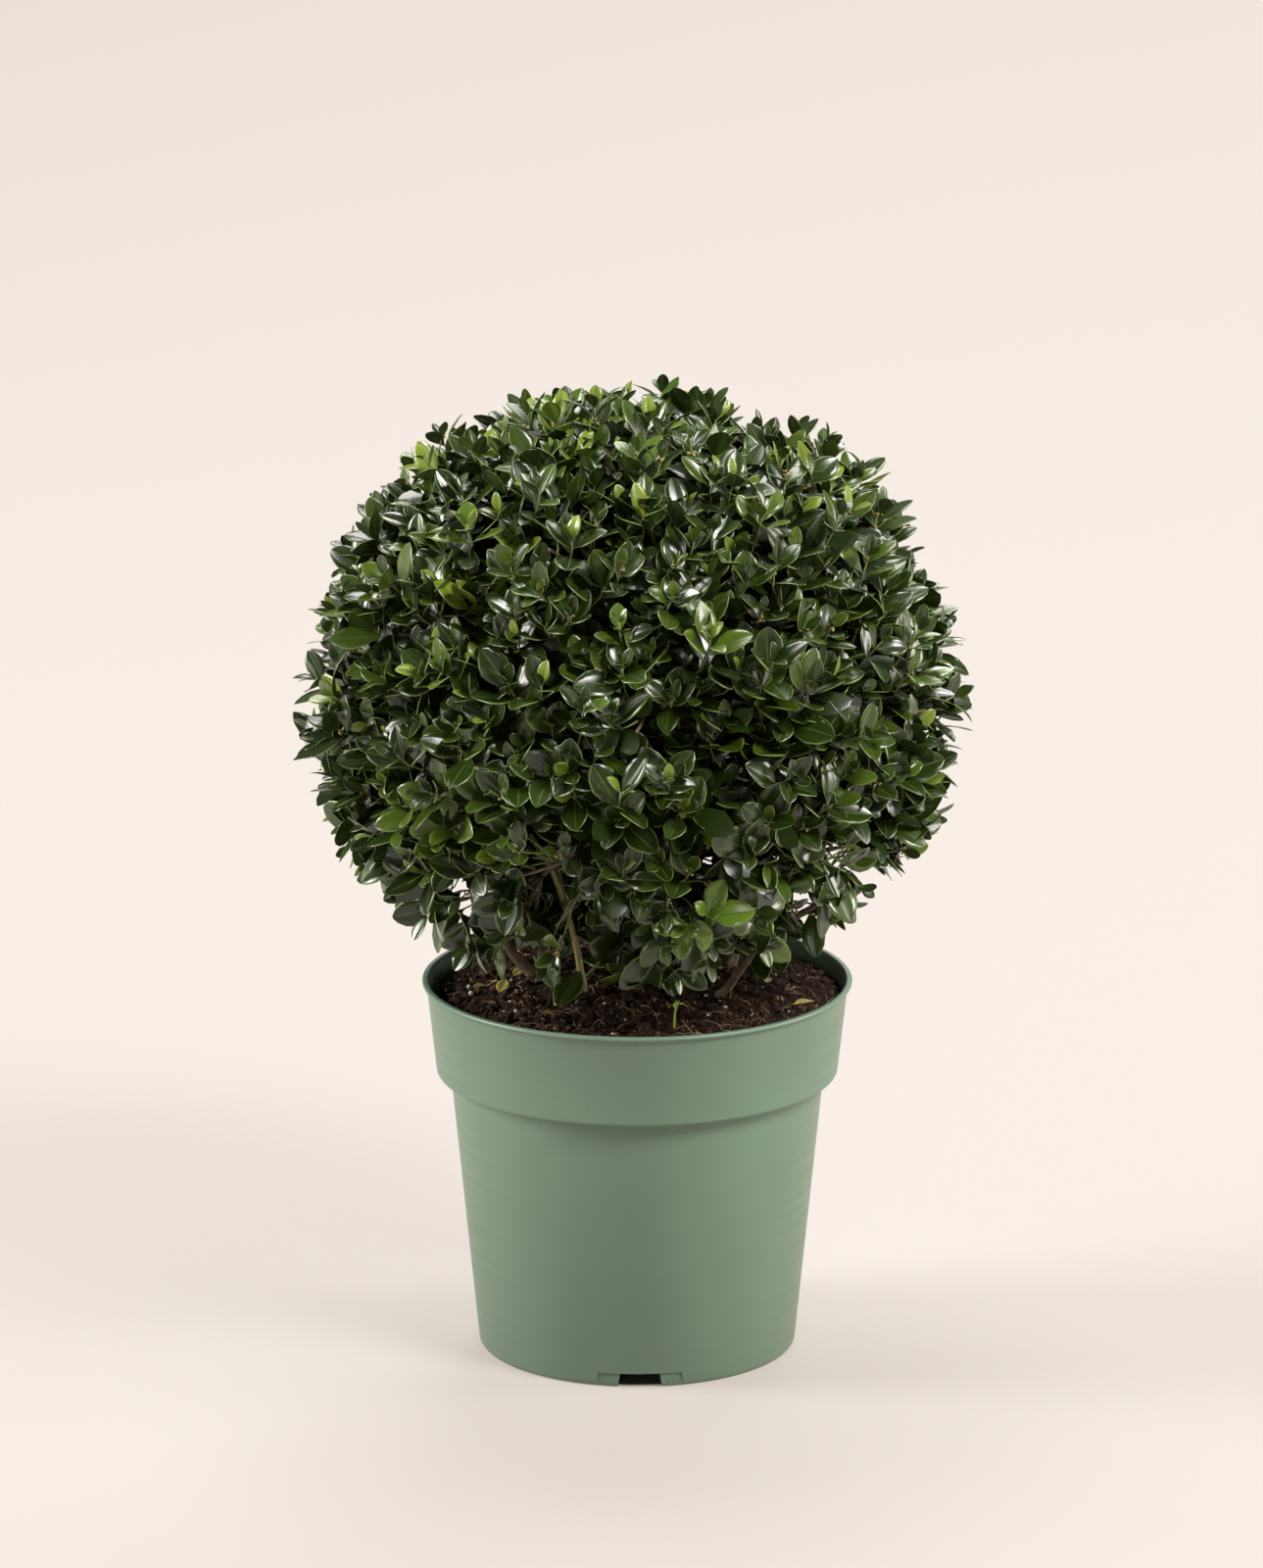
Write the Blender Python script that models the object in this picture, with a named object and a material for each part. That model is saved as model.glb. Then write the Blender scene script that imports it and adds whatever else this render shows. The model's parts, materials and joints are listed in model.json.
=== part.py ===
"""A small-leaved evergreen shrub, clipped to a ball, in a plastic nursery pot.

Metres, +Z up. The origin is the centre of the pot's underside, on the ground.
Run it with: blender --background --python part.py
"""

import math
import random

import bpy
import bmesh
from mathutils import Matrix, Vector, noise
from mathutils.bvhtree import BVHTree
from mathutils.geometry import delaunay_2d_cdt

# ---------------------------------------------------------------- driving dimensions

GAP = 0.0003                 # between pieces that touch

# pot
RIM_RADIUS = 0.140           # outside of the rolled lip
POT_HEIGHT = 0.2475
LIP_WIDTH = 0.003
LIP_HEIGHT = 0.0034
COLLAR_TOP_RADIUS = 0.1372
COLLAR_FOOT_RADIUS = 0.1309
COLLAR_FOOT_HEIGHT = 0.1875
COLLAR_FOOT_SLOPE = 0.0008   # rise of the collar's underside out to its rounded edge
BODY_TOP_RADIUS = 0.1216
BODY_TOP_HEIGHT = 0.1832
BODY_FOOT_RADIUS = 0.1037
BODY_FOOT_HEIGHT = 0.0045
CONTACT_RADIUS = 0.0993      # where the rounded foot meets the ground
CONTACT_INNER_RADIUS = 0.0955
WALL = 0.002
FLOOR_HEIGHT = 0.013         # upper side of the raised floor
FLOOR_THICKNESS = 0.0025
AROUND = 48                  # facets round the pot
NOTCHES = 3                  # drainage notches in the foot, one near the front
FIRST_NOTCH = math.radians(-89)
NOTCH_HEIGHT = 0.0100
NOTCH_WIDTH = 0.0300         # at the ground, narrower at its top
NOTCH_LEAN = 0.0025          # how much each side of a notch or pad leans in
PAD_WIDTH = 0.0570           # shallow pads on both sides of a notch
PAD_RADIUS = 0.1030
DRAINS = 5                   # holes in the floor, round one in its middle
DRAIN_RADIUS = 0.0060
DRAIN_RING = 0.0700

# soil
SOIL_HEIGHT = 0.2355
SOIL_MOUND = 0.0045          # rise towards the stems
SOIL_ROUGHNESS = 0.0022
SOIL_AROUND = 24
SOIL_RINGS = 7

# crown, clipped to a ball a little wider than it is high
CROWN_CENTRE = Vector((-0.001, 0.0, 0.434))
CROWN_SIDE = 0.2190          # from the centre to the furthest leaf tips
CROWN_UP = 0.2090
CROWN_DOWN = 0.2000
CORE_CENTRE = Vector((-0.001, 0.0, 0.440))
CORE_SIDE = 0.1860
CORE_UP = 0.1740
CORE_DOWN = 0.1340
CORE_LUMPS = 0.04
BOUGHS, BRANCHES, TWIGS = 9, 34, 214   # how many the growth has come to after each forking
BOUGH_REACH, BRANCH_REACH, TWIG_REACH = 0.38, 0.66, 0.88
LOWEST_GROWTH = -0.93        # sine of the lowest direction that shoots grow in
BRANCH_RADIUS = 0.0032
TWIG_ROOT_RADIUS = 0.0026
TWIG_TIP_RADIUS = 0.0016
LEAF_LENGTH = 0.046
LEAF_WIDTH = 0.026
LEAF_THICKNESS = 0.0018
SHORTEST_TWIG = 0.032
CORE_ROOT_DEPTH = 0.005      # how far under the core's surface its leaves are rooted
LEAF_ROOT_DEPTH = 0.0012     # how far past the twig's middle a leaf is rooted, and half a pair's stagger
LEAF_CLEARANCE = 0.004       # above the pot's lip
LIMB_CLEARANCE = 0.0012      # round the bark
SEED = 7

COLOURS = {
    "pot_plastic": ((0.150, 0.225, 0.160), 0.42),
    "potting_soil": ((0.030, 0.018, 0.012), 0.95),
    "bark": ((0.130, 0.085, 0.050), 0.85),
    "foliage": ((0.030, 0.075, 0.018), 0.35),
}

# ---------------------------------------------------------------- shared helpers


def clear_scene():
    for obj in list(bpy.data.objects):
        bpy.data.objects.remove(obj, do_unlink=True)


def material(name):
    found = bpy.data.materials.get(name)
    if found:
        return found
    colour, roughness = COLOURS[name]
    made = bpy.data.materials.new(name)
    made.use_nodes = True
    shader = made.node_tree.nodes["Principled BSDF"]
    shader.inputs["Base Color"].default_value = (*colour, 1.0)
    shader.inputs["Roughness"].default_value = roughness
    shader.inputs["Metallic"].default_value = 0.0
    return made


def object_of(mesh_builder, name, finish, collection=None):
    """A named object from a bmesh, with its faces pointing out."""
    bmesh.ops.recalc_face_normals(mesh_builder, faces=mesh_builder.faces)
    mesh = bpy.data.meshes.new(name)
    mesh_builder.to_mesh(mesh)
    mesh_builder.free()
    mesh.materials.append(material(finish))
    made = bpy.data.objects.new(name, mesh)
    (collection or bpy.context.scene.collection).objects.link(made)
    return made


def helper_collection(name):
    made = bpy.data.collections.new(name)
    bpy.context.scene.collection.children.link(made)
    return made


def hide_helper(obj):
    obj.hide_render = True
    obj.display_type = "WIRE"


def add_boolean(target, collection, operation, solver="EXACT"):
    modifier = target.modifiers.new(collection.name, "BOOLEAN")
    modifier.operation = operation
    modifier.operand_type = "COLLECTION"
    modifier.collection = collection
    modifier.solver = solver
    return modifier


def apply_modifiers(target):
    """Replaces the object's mesh by the one that its modifiers give."""
    graph = bpy.context.evaluated_depsgraph_get()
    mesh = bpy.data.meshes.new_from_object(target.evaluated_get(graph))
    target.modifiers.clear()
    target.data = mesh


def lathe(profile, around):
    """A bmesh turned about +Z from a closed outline of (radius, height) points; points on the axis close it."""
    builder = bmesh.new()
    rings = []
    for radius, height in profile:
        if radius < 1e-6:
            rings.append([builder.verts.new((0.0, 0.0, height))])
            continue
        rings.append([
            builder.verts.new((
                radius * math.cos(2 * math.pi * i / around),
                radius * math.sin(2 * math.pi * i / around),
                height,
            ))
            for i in range(around)
        ])
    for lower, upper in zip(rings, rings[1:]):
        for i in range(around):
            j = (i + 1) % around
            corners = [lower[i % len(lower)], lower[j % len(lower)], upper[j % len(upper)], upper[i % len(upper)]]
            builder.faces.new(list(dict.fromkeys(corners)))
    return builder


def sector_block(inner, outer, low, high, half_width, facing, lean=0.0):
    """A bmesh block between two radii, as wide as 2 * half_width and narrower at its top by 2 * lean."""
    builder = bmesh.new()
    steps = 4
    columns = []
    for level, shrink in ((low, 0.0), (high, lean)):
        for radius in (inner, outer):
            row = []
            for k in range(steps + 1):
                across = (half_width - shrink) * (2 * k / steps - 1)
                angle = facing + across / CONTACT_RADIUS
                row.append(builder.verts.new((radius * math.cos(angle), radius * math.sin(angle), level)))
            columns.append(row)
    low_in, low_out, high_in, high_out = columns
    for k in range(steps):
        for a, b in ((low_in, low_out), (low_out, high_out), (high_out, high_in), (high_in, low_in)):
            builder.faces.new((a[k], a[k + 1], b[k + 1], b[k]))
    for k in (0, steps):
        builder.faces.new((low_in[k], low_out[k], high_out[k], high_in[k]))
    return builder


def arc(centre, radius, start, end, steps):
    """Points of a round stretch in the (radius, height) plane, from one angle to another in degrees."""
    return [
        (
            centre[0] + radius * math.cos(math.radians(start + (end - start) * k / steps)),
            centre[1] + radius * math.sin(math.radians(start + (end - start) * k / steps)),
        )
        for k in range(steps + 1)
    ]

# ---------------------------------------------------------------- pot and soil


def shoulder(inset, steps):
    """The underside of the collar, from the body's top up to the collar's foot, moved in and up by inset."""
    low = Vector((BODY_TOP_RADIUS - inset, BODY_TOP_HEIGHT + inset))
    high = Vector((COLLAR_FOOT_RADIUS - inset, COLLAR_FOOT_HEIGHT + inset))
    corner = Vector((high.x, low.y + COLLAR_FOOT_SLOPE))
    points = []
    for k in range(steps + 1):
        t = k / steps
        p = low * (1 - t) ** 2 + corner * (2 * t * (1 - t)) + high * t ** 2
        points.append((p.x, p.y))
    return points


def inner_wall():
    """Inside of the pot from the floor up to the lip, as (radius, height) points."""
    return [
        (BODY_FOOT_RADIUS - WALL - 0.0030, FLOOR_HEIGHT),
        (BODY_FOOT_RADIUS - WALL + 0.0008, FLOOR_HEIGHT + 0.0040),
        *shoulder(WALL, 3),
        (COLLAR_TOP_RADIUS - WALL, POT_HEIGHT - LIP_HEIGHT),
    ]


def pot_outline():
    lip_centre = (RIM_RADIUS - LIP_WIDTH / 2, POT_HEIGHT - LIP_HEIGHT / 2)
    outside = [
        (0.0, FLOOR_HEIGHT - FLOOR_THICKNESS),
        (CONTACT_INNER_RADIUS, FLOOR_HEIGHT - FLOOR_THICKNESS),
        (CONTACT_INNER_RADIUS, 0.0),
        (CONTACT_RADIUS, 0.0),
        (CONTACT_RADIUS + 0.0032, 0.0014),
        (BODY_FOOT_RADIUS, BODY_FOOT_HEIGHT),
        *shoulder(0.0, 4),
        (COLLAR_TOP_RADIUS, POT_HEIGHT - LIP_HEIGHT),
        *arc(lip_centre, LIP_WIDTH / 2, -60, 90, 3),
    ]
    inside = [(RIM_RADIUS - LIP_WIDTH - 0.0012, POT_HEIGHT - 0.0004), *reversed(inner_wall()), (0.0, FLOOR_HEIGHT)]
    return outside + inside


def build_pot():
    pot = object_of(lathe(pot_outline(), AROUND), "pot", "pot_plastic")
    recesses = helper_collection("pad_recesses")
    openings = helper_collection("drainage")
    for k in range(NOTCHES):
        facing = FIRST_NOTCH + 2 * math.pi * k / NOTCHES
        recess = sector_block(PAD_RADIUS, 0.115, -0.002, NOTCH_HEIGHT, PAD_WIDTH / 2, facing, NOTCH_LEAN)
        hide_helper(object_of(recess, f"recess_{k}", "pot_plastic", recesses))
        notch = sector_block(0.082, 0.118, -0.003, NOTCH_HEIGHT - 0.0002, NOTCH_WIDTH / 2, facing, NOTCH_LEAN)
        hide_helper(object_of(notch, f"notch_{k}", "pot_plastic", openings))
    for k in range(DRAINS + 1):
        ring = DRAIN_RING if k else 0.0
        angle = FIRST_NOTCH + 2 * math.pi * k / DRAINS
        drain = bmesh.new()
        bmesh.ops.create_cone(
            drain, cap_ends=True, segments=12, radius1=DRAIN_RADIUS, radius2=DRAIN_RADIUS, depth=3 * FLOOR_HEIGHT,
            matrix=Matrix.Translation((ring * math.cos(angle), ring * math.sin(angle), FLOOR_HEIGHT)),
        )
        hide_helper(object_of(drain, f"drain_{k}", "pot_plastic", openings))
    add_boolean(pot, recesses, "DIFFERENCE")
    add_boolean(pot, openings, "DIFFERENCE")
    return pot


def soil_height(x, y):
    """Upper side of the soil: a low mound with crumbs."""
    mound = SOIL_MOUND * (1 - (math.hypot(x, y) / RIM_RADIUS) ** 2)
    return SOIL_HEIGHT + mound + SOIL_ROUGHNESS * noise.noise(Vector((x, y, 0.0)) * 40)


def soil_points(edge, feet):
    """Points of the soil's upper side within its edge, and the pairs that ring each level foot."""
    points, links = [], []
    for ring in range(1, SOIL_RINGS):
        radius = edge * ring / SOIL_RINGS
        around = max(6, round(SOIL_AROUND * ring / SOIL_RINGS))
        for i in range(around):
            angle = 2 * math.pi * (i + 0.5 * (ring % 2)) / around
            p = Vector((radius * math.cos(angle), radius * math.sin(angle)))
            if all((p - foot.xy).length > flat * 1.5 for foot, flat in feet):
                points.append((p, soil_height(p.x, p.y)))
    for foot, flat in feet:
        first = len(points)
        for i in range(8):
            angle = 2 * math.pi * i / 8
            points.append((foot.xy + flat * Vector((math.cos(angle), math.sin(angle))), foot.z - GAP))
            links.append((first + i, first + (i + 1) % 8))
    return points, links


def build_soil(feet):
    """The filling of the pot, level under each foot, which is a point and the radius of its level patch."""
    wall = [(radius - GAP, height + GAP) for radius, height in inner_wall()]
    below = [p for p in wall if p[1] < SOIL_HEIGHT - 0.004]
    (r1, h1), (r2, h2) = below[-1], wall[-1]
    edge = r1 + (r2 - r1) * (SOIL_HEIGHT - h1) / (h2 - h1)
    builder = lathe([(0.0, FLOOR_HEIGHT + GAP), *below, (edge, SOIL_HEIGHT)], SOIL_AROUND)
    rim = [v for v in builder.verts if abs(v.co.z - SOIL_HEIGHT) < 1e-7]
    inner, links = soil_points(edge, feet)
    flat = [v.co.xy for v in rim] + [p for p, _ in inner]
    links = [(a + len(rim), b + len(rim)) for a, b in links]
    found, _, faces, origins, _, _ = delaunay_2d_cdt(flat, links, [], 0, 1e-6)
    top = []
    for point, origin in zip(found, origins):
        if origin[0] < len(rim):
            top.append(rim[origin[0]])
        else:
            top.append(builder.verts.new((point.x, point.y, inner[origin[0] - len(rim)][1])))
    for face in faces:
        builder.faces.new([top[i] for i in face])
    return object_of(builder, "soil", "potting_soil")

# ---------------------------------------------------------------- limbs


class Limb:
    """One tapering stem or bough: its middle line, its radius at both ends, and a flare at a foot in the soil."""

    def __init__(self, name, points, root_radius, tip_radius, flare=0.0, sides=8):
        self.name = name
        self.points = [Vector(p) for p in points]
        self.root_radius = root_radius
        self.tip_radius = tip_radius
        self.flare = flare
        self.sides = sides

    def line(self, steps=6):
        """Points of a smooth curve through the limb's own points."""
        count = len(self.points)
        padded = [2 * self.points[0] - self.points[1], *self.points, 2 * self.points[-1] - self.points[-2]]
        found = []
        for k in range(steps + 1):
            place = k / steps * (count - 1)
            i = min(int(place), count - 2)
            t = place - i
            a, b, c, d = padded[i:i + 4]
            found.append(0.5 * (
                2 * b + (c - a) * t + (2 * a - 5 * b + 4 * c - d) * t ** 2 + (3 * b - a - 3 * c + d) * t ** 3
            ))
        return found

    def radius(self, share):
        flare = self.flare * max(0.0, 1 - share * 5) ** 2
        return self.root_radius + (self.tip_radius - self.root_radius) * share + flare

    def build(self):
        line = self.line()
        builder = tube(line, [self.radius(k / (len(line) - 1)) for k in range(len(line))], self.sides,
                       level_foot=self.flare > 0)
        return object_of(builder, self.name, "bark")

    def stub(self, into, overlap_radius):
        """The limb's continuation inside the crown, from just past its tip to a point in the core."""
        line = self.line()
        along = (line[-1] - line[-2]).normalized()
        start = line[-1] + along * GAP
        middle = start + along * (into - start).length * 0.35
        radii = [self.tip_radius, (self.tip_radius + overlap_radius) / 2, overlap_radius]
        return tube([start, middle, into], radii, 6)


def tube(line, radii, sides, level_foot=False):
    """A closed tapering tube along a line of points. A level foot lies flat on the ground."""
    builder = bmesh.new()
    rings = []
    for k, (point, radius) in enumerate(zip(line, radii)):
        before, after = line[max(k - 1, 0)], line[min(k + 1, len(line) - 1)]
        along = (after - before).normalized()
        if level_foot and k == 0:
            along = Vector((0.0, 0.0, 1.0))
        side = along.cross(Vector((0.31, 0.95, 0.05))).normalized()
        other = along.cross(side)
        rings.append([
            builder.verts.new(point + radius * (
                side * math.cos(2 * math.pi * i / sides) + other * math.sin(2 * math.pi * i / sides)
            ))
            for i in range(sides)
        ])
    for lower, upper in zip(rings, rings[1:]):
        for i in range(sides):
            j = (i + 1) % sides
            builder.faces.new((lower[i], lower[j], upper[j], upper[i]))
    builder.faces.new(list(reversed(rings[0])))
    builder.faces.new(rings[-1])
    return builder


FOOT_LEVEL = SOIL_HEIGHT + 0.0025    # level of the soil under each stem
FORK = Vector((0.028, 0.020, 0.274))

LIMBS = [
    Limb("stem_left", [(-0.066, 0.030, FOOT_LEVEL), (-0.083, 0.028, 0.2580), (-0.092, 0.025, 0.290),
                       (-0.102, 0.022, 0.317)], 0.0036, 0.0026, 0.0022),
    Limb("stem_front", [(-0.0345, -0.006, FOOT_LEVEL), (-0.0395, -0.017, 0.2725), (-0.0470, -0.029, 0.305)],
         0.0022, 0.0018, 0.0009),
    Limb("stem_middle", [(0.020, 0.022, FOOT_LEVEL), (0.0255, 0.020, 0.258), FORK], 0.0050, 0.0040, 0.0030),
    Limb("stem_right", [(0.0537, -0.0185, FOOT_LEVEL), (0.072, -0.020, 0.265), (0.092, -0.020, 0.287),
                        (0.124, -0.020, 0.305)], 0.0029, 0.0021, 0.0013),
    Limb("stem_back", [(-0.012, 0.070, FOOT_LEVEL), (-0.022, 0.085, 0.283), (-0.029, 0.101, 0.320)],
         0.0040, 0.0028, 0.0022),
    Limb("stem_back_right", [(0.060, 0.058, FOOT_LEVEL), (0.078, 0.066, 0.275), (0.102, 0.074, 0.318)],
         0.0036, 0.0026, 0.0020),
    Limb("bough_middle_left", [FORK + Vector((-0.0036, 0.0, 0.0056)), FORK + Vector((-0.014, 0.004, 0.026))],
         0.0028, 0.0022, sides=6),
    Limb("bough_middle_right", [FORK + Vector((0.0036, 0.0, 0.0056)), FORK + Vector((0.013, -0.003, 0.026))],
         0.0028, 0.0020, sides=6),
]

# ---------------------------------------------------------------- growth rule


def ball_reach(direction):
    """Distance from the crown's centre to its clipped surface, in a unit direction."""
    height = CROWN_UP if direction.z > 0 else CROWN_DOWN
    flat = direction.x ** 2 + direction.y ** 2
    return 1 / math.sqrt(flat / CROWN_SIDE ** 2 + direction.z ** 2 / height ** 2)


def outside_ball(point):
    offset = point - CROWN_CENTRE
    return offset.length / ball_reach(offset.normalized())


def spread(count, lowest, turn):
    """Unit directions spread evenly over the ball by the golden angle, from the top down to a lowest sine."""
    golden = math.pi * (3 - math.sqrt(5))
    found = []
    for k in range(count):
        z = 1 - (1 - lowest) * (k + 0.5) / count
        flat = math.sqrt(max(0.0, 1 - z * z))
        found.append(Vector((flat * math.cos(golden * k + turn), flat * math.sin(golden * k + turn), z)))
    return found


def nearest(direction, others):
    return max(range(len(others)), key=lambda i: direction.dot(others[i]))


def in_core(point, share):
    """Whether a point lies in the core shrunk to a share of its size."""
    offset = point - CORE_CENTRE
    height = CORE_UP if offset.z > 0 else CORE_DOWN
    return math.hypot(offset.x / CORE_SIDE, offset.y / CORE_SIDE, offset.z / height) < share


def grow():
    """Forks the growth from boughs to branches to twigs, each to its own patch of the ball.

    Gives branches and twigs as (root, tip); a twig springs from its branch's tip."""
    rule = random.Random(SEED)
    boughs = spread(BOUGHS, LOWEST_GROWTH, 0.3)
    branches = []
    for direction in spread(BRANCHES, LOWEST_GROWTH, 1.1):
        bough = boughs[nearest(direction, boughs)]
        root = CROWN_CENTRE + bough * ball_reach(bough) * BOUGH_REACH
        branches.append((root, CROWN_CENTRE + direction * ball_reach(direction) * BRANCH_REACH, direction))
    twigs = []
    for direction in spread(TWIGS, LOWEST_GROWTH, 2.0):
        branch = branches[nearest(direction, [b[2] for b in branches])]
        aim = (direction + Vector([rule.uniform(-0.05, 0.05) for _ in range(3)])).normalized()
        tip = CROWN_CENTRE + aim * ball_reach(aim) * TWIG_REACH * rule.uniform(0.96, 1.03)
        twigs.append((branch[1] + (branch[0] - branch[1]) * 0.04, tip))
    return [b[:2] for b in branches], twigs


def leaf(root, along, face, length, width):
    """A closed leaf of six faces: pointed at both ends, with a low ridge above and folded along its rib below."""
    side = along.cross(face).normalized()
    face = side.cross(along).normalized()
    belly = root + along * length * 0.54
    builder = bmesh.new()
    base, tip, left, right, ridge = (builder.verts.new(p) for p in (
        root,
        root + along * length - face * length * 0.08,
        belly - side * width / 2 + face * LEAF_THICKNESS,
        belly + side * width / 2 + face * LEAF_THICKNESS,
        belly + face * LEAF_THICKNESS,
    ))
    for a, b in ((base, left), (left, tip), (tip, right), (right, base)):
        builder.faces.new((a, b, ridge))
    builder.faces.new((base, tip, left))
    builder.faces.new((tip, base, right))
    return builder


def leaf_pair(point, heading, turn, opening):
    """Two opposite leaves at a node of a twig, as (root, along, face)."""
    side = heading.cross(Vector((0.2, 0.1, 1.0))).normalized()
    side = Matrix.Rotation(turn, 3, heading) @ side
    found = []
    for sign in (-1, 1):
        along = (heading * math.cos(opening) + side * sign * math.sin(opening)).normalized()
        face = (heading - along * heading.dot(along)).normalized()
        found.append((point + heading * sign * LEAF_ROOT_DEPTH - along * LEAF_ROOT_DEPTH, along, face))
    return found


def limb_spaces(margin):
    """A surface round each limb, at a margin from its bark, that growth keeps out of."""
    spaces = []
    for limb in LIMBS:
        line = limb.line()
        around = tube(line, [limb.radius(k / (len(line) - 1)) + margin for k in range(len(line))], limb.sides)
        spaces.append(BVHTree.FromBMesh(around))
        around.free()
    return spaces


def touches(builder, spaces):
    tree = BVHTree.FromBMesh(builder)
    return any(tree.overlap(space) for space in spaces)


def outline_points(root, along, face, length, width):
    side = along.cross(face).normalized()
    belly = root + along * length * 0.52
    return [root + along * length, belly - side * width / 2, belly + side * width / 2, belly,
            root + along * length * 0.25, root + along * length * 0.76]


def crosses(tree, middle, placed):
    """Whether a leaf's faces cut those of a leaf placed before it."""
    return any((middle - other).length < LEAF_LENGTH and tree.overlap(before) for other, before in placed)


def try_leaf(leaf_root, along, face, placed, spaces, rule):
    """A leaf cut back to the ball, or none where it has no room."""
    length = LEAF_LENGTH * rule.uniform(0.92, 1.04)
    while length > LEAF_LENGTH * 0.6 and outside_ball(leaf_root + along * length) > 1.0:
        length *= 0.97
    width = LEAF_WIDTH * rule.uniform(0.92, 1.08)
    shape = outline_points(leaf_root, along, face, length, width)
    if length <= LEAF_LENGTH * 0.6 or min(p.z for p in shape) < POT_HEIGHT + LEAF_CLEARANCE:
        return None
    builder = leaf(leaf_root, along, face, length, width)
    tree = BVHTree.FromBMesh(builder)
    middle = leaf_root + along * length / 2
    if touches(builder, spaces) or crosses(tree, middle, placed):
        builder.free()
        return None
    return builder, (middle, tree)


def build_core():
    core = bmesh.new()
    bmesh.ops.create_icosphere(core, subdivisions=3, radius=1.0)
    for vertex in core.verts:
        height = CORE_UP if vertex.co.z > 0 else CORE_DOWN
        lumps = 1 + CORE_LUMPS * noise.noise(vertex.co * 2.5)
        shape = Vector((vertex.co.x * CORE_SIDE, vertex.co.y * CORE_SIDE, vertex.co.z * height))
        vertex.co = CORE_CENTRE + shape * lumps
    surface = BVHTree.FromBMesh(core)
    return object_of(core, "crown", "foliage"), surface


def shoot_nodes(root, tip, surface, rule):
    """Where a twig's leaf pairs stand, as (point, turn, opening), and where its open part starts.

    A twig that ends near the core shows no wood: its leaves stand straight out of the core."""
    forward = (tip - root).normalized()
    leaving = surface.ray_cast(CORE_CENTRE, (tip - CORE_CENTRE).normalized())[0]
    turn = rule.uniform(0, math.pi)
    if (tip - leaving).length < SHORTEST_TWIG:
        point = leaving - forward * CORE_ROOT_DEPTH
        nodes = [(point, turn, math.radians(rule.uniform(24, 42)))]
        if rule.random() < 0.5:
            nodes.append((point, turn + math.pi / 2, math.radians(56)))
        return nodes, None
    start = root
    while in_core(start + forward * 0.01, 0.85) and (tip - start).length > 0.03:
        start = start + forward * 0.01
    outer = (tip - forward * 0.003, turn + math.pi / 2, math.radians(38))
    return [(tip - forward * 0.024, turn, math.radians(62)), outer], start


def add_shoots(growth, surface):
    """Branches and twigs that leave the core, and each twig's pairs of leaves."""
    rule = random.Random(SEED + 1)
    branches, twigs = grow()
    spaces = limb_spaces(LIMB_CLEARANCE)
    for number, (root, tip) in enumerate(branches):
        branch = tube([root, tip], [BRANCH_RADIUS, BRANCH_RADIUS * 0.8], 3)
        if in_core(tip, 0.9) or touches(branch, spaces):
            branch.free()
            continue
        object_of(branch, f"branch_{number}", "foliage", growth)
    placed = []
    for number, (root, tip) in enumerate(twigs):
        nodes, start = shoot_nodes(root, tip, surface, rule)
        if start:
            twig = tube([start, tip], [TWIG_ROOT_RADIUS, TWIG_TIP_RADIUS], 3)
            if tip.z < POT_HEIGHT + 3 * LEAF_CLEARANCE or touches(twig, spaces):
                twig.free()
                continue
            object_of(twig, f"twig_{number}", "foliage", growth)
        heading = ((tip - root).normalized() + Vector((0.0, 0.0, 0.2))).normalized()
        fresh = []
        for point, turn, opening in nodes:
            for leaf_root, along, face in leaf_pair(point, heading, turn, opening):
                grown = try_leaf(leaf_root, along, face, placed, spaces, rule)
                if grown:
                    object_of(grown[0], f"leaf_{len(placed) + len(fresh)}", "foliage", growth)
                    fresh.append(grown[1])
        placed += fresh
    return len(placed)


def build_crown():
    crown, surface = build_core()
    growth = helper_collection("growth")
    for limb in LIMBS:
        if limb.name == "stem_middle":
            continue
        tip = limb.line()[-1]
        into = Vector((tip.x * 0.92, tip.y * 0.92, CORE_CENTRE.z - CORE_DOWN * 0.45))
        object_of(limb.stub(into, limb.tip_radius * 0.8), "stub_" + limb.name, "foliage", growth)
    count = add_shoots(growth, surface)
    add_boolean(crown, growth, "UNION", "MANIFOLD")
    apply_modifiers(crown)
    for helper in list(growth.objects):
        bpy.data.objects.remove(helper, do_unlink=True)
    bpy.data.collections.remove(growth)
    print(f"crown: {count} leaves, {len(crown.data.polygons)} faces")


def main():
    clear_scene()
    build_pot()
    rooted = [limb for limb in LIMBS if limb.flare > 0]
    build_soil([(limb.points[0], limb.root_radius + limb.flare + 0.002) for limb in rooted])
    for limb in LIMBS:
        limb.build()
    build_crown()


main()
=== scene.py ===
import json
import math
import random

import bmesh
import bpy
import numpy as np
from mathutils import Matrix, Vector, noise

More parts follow.
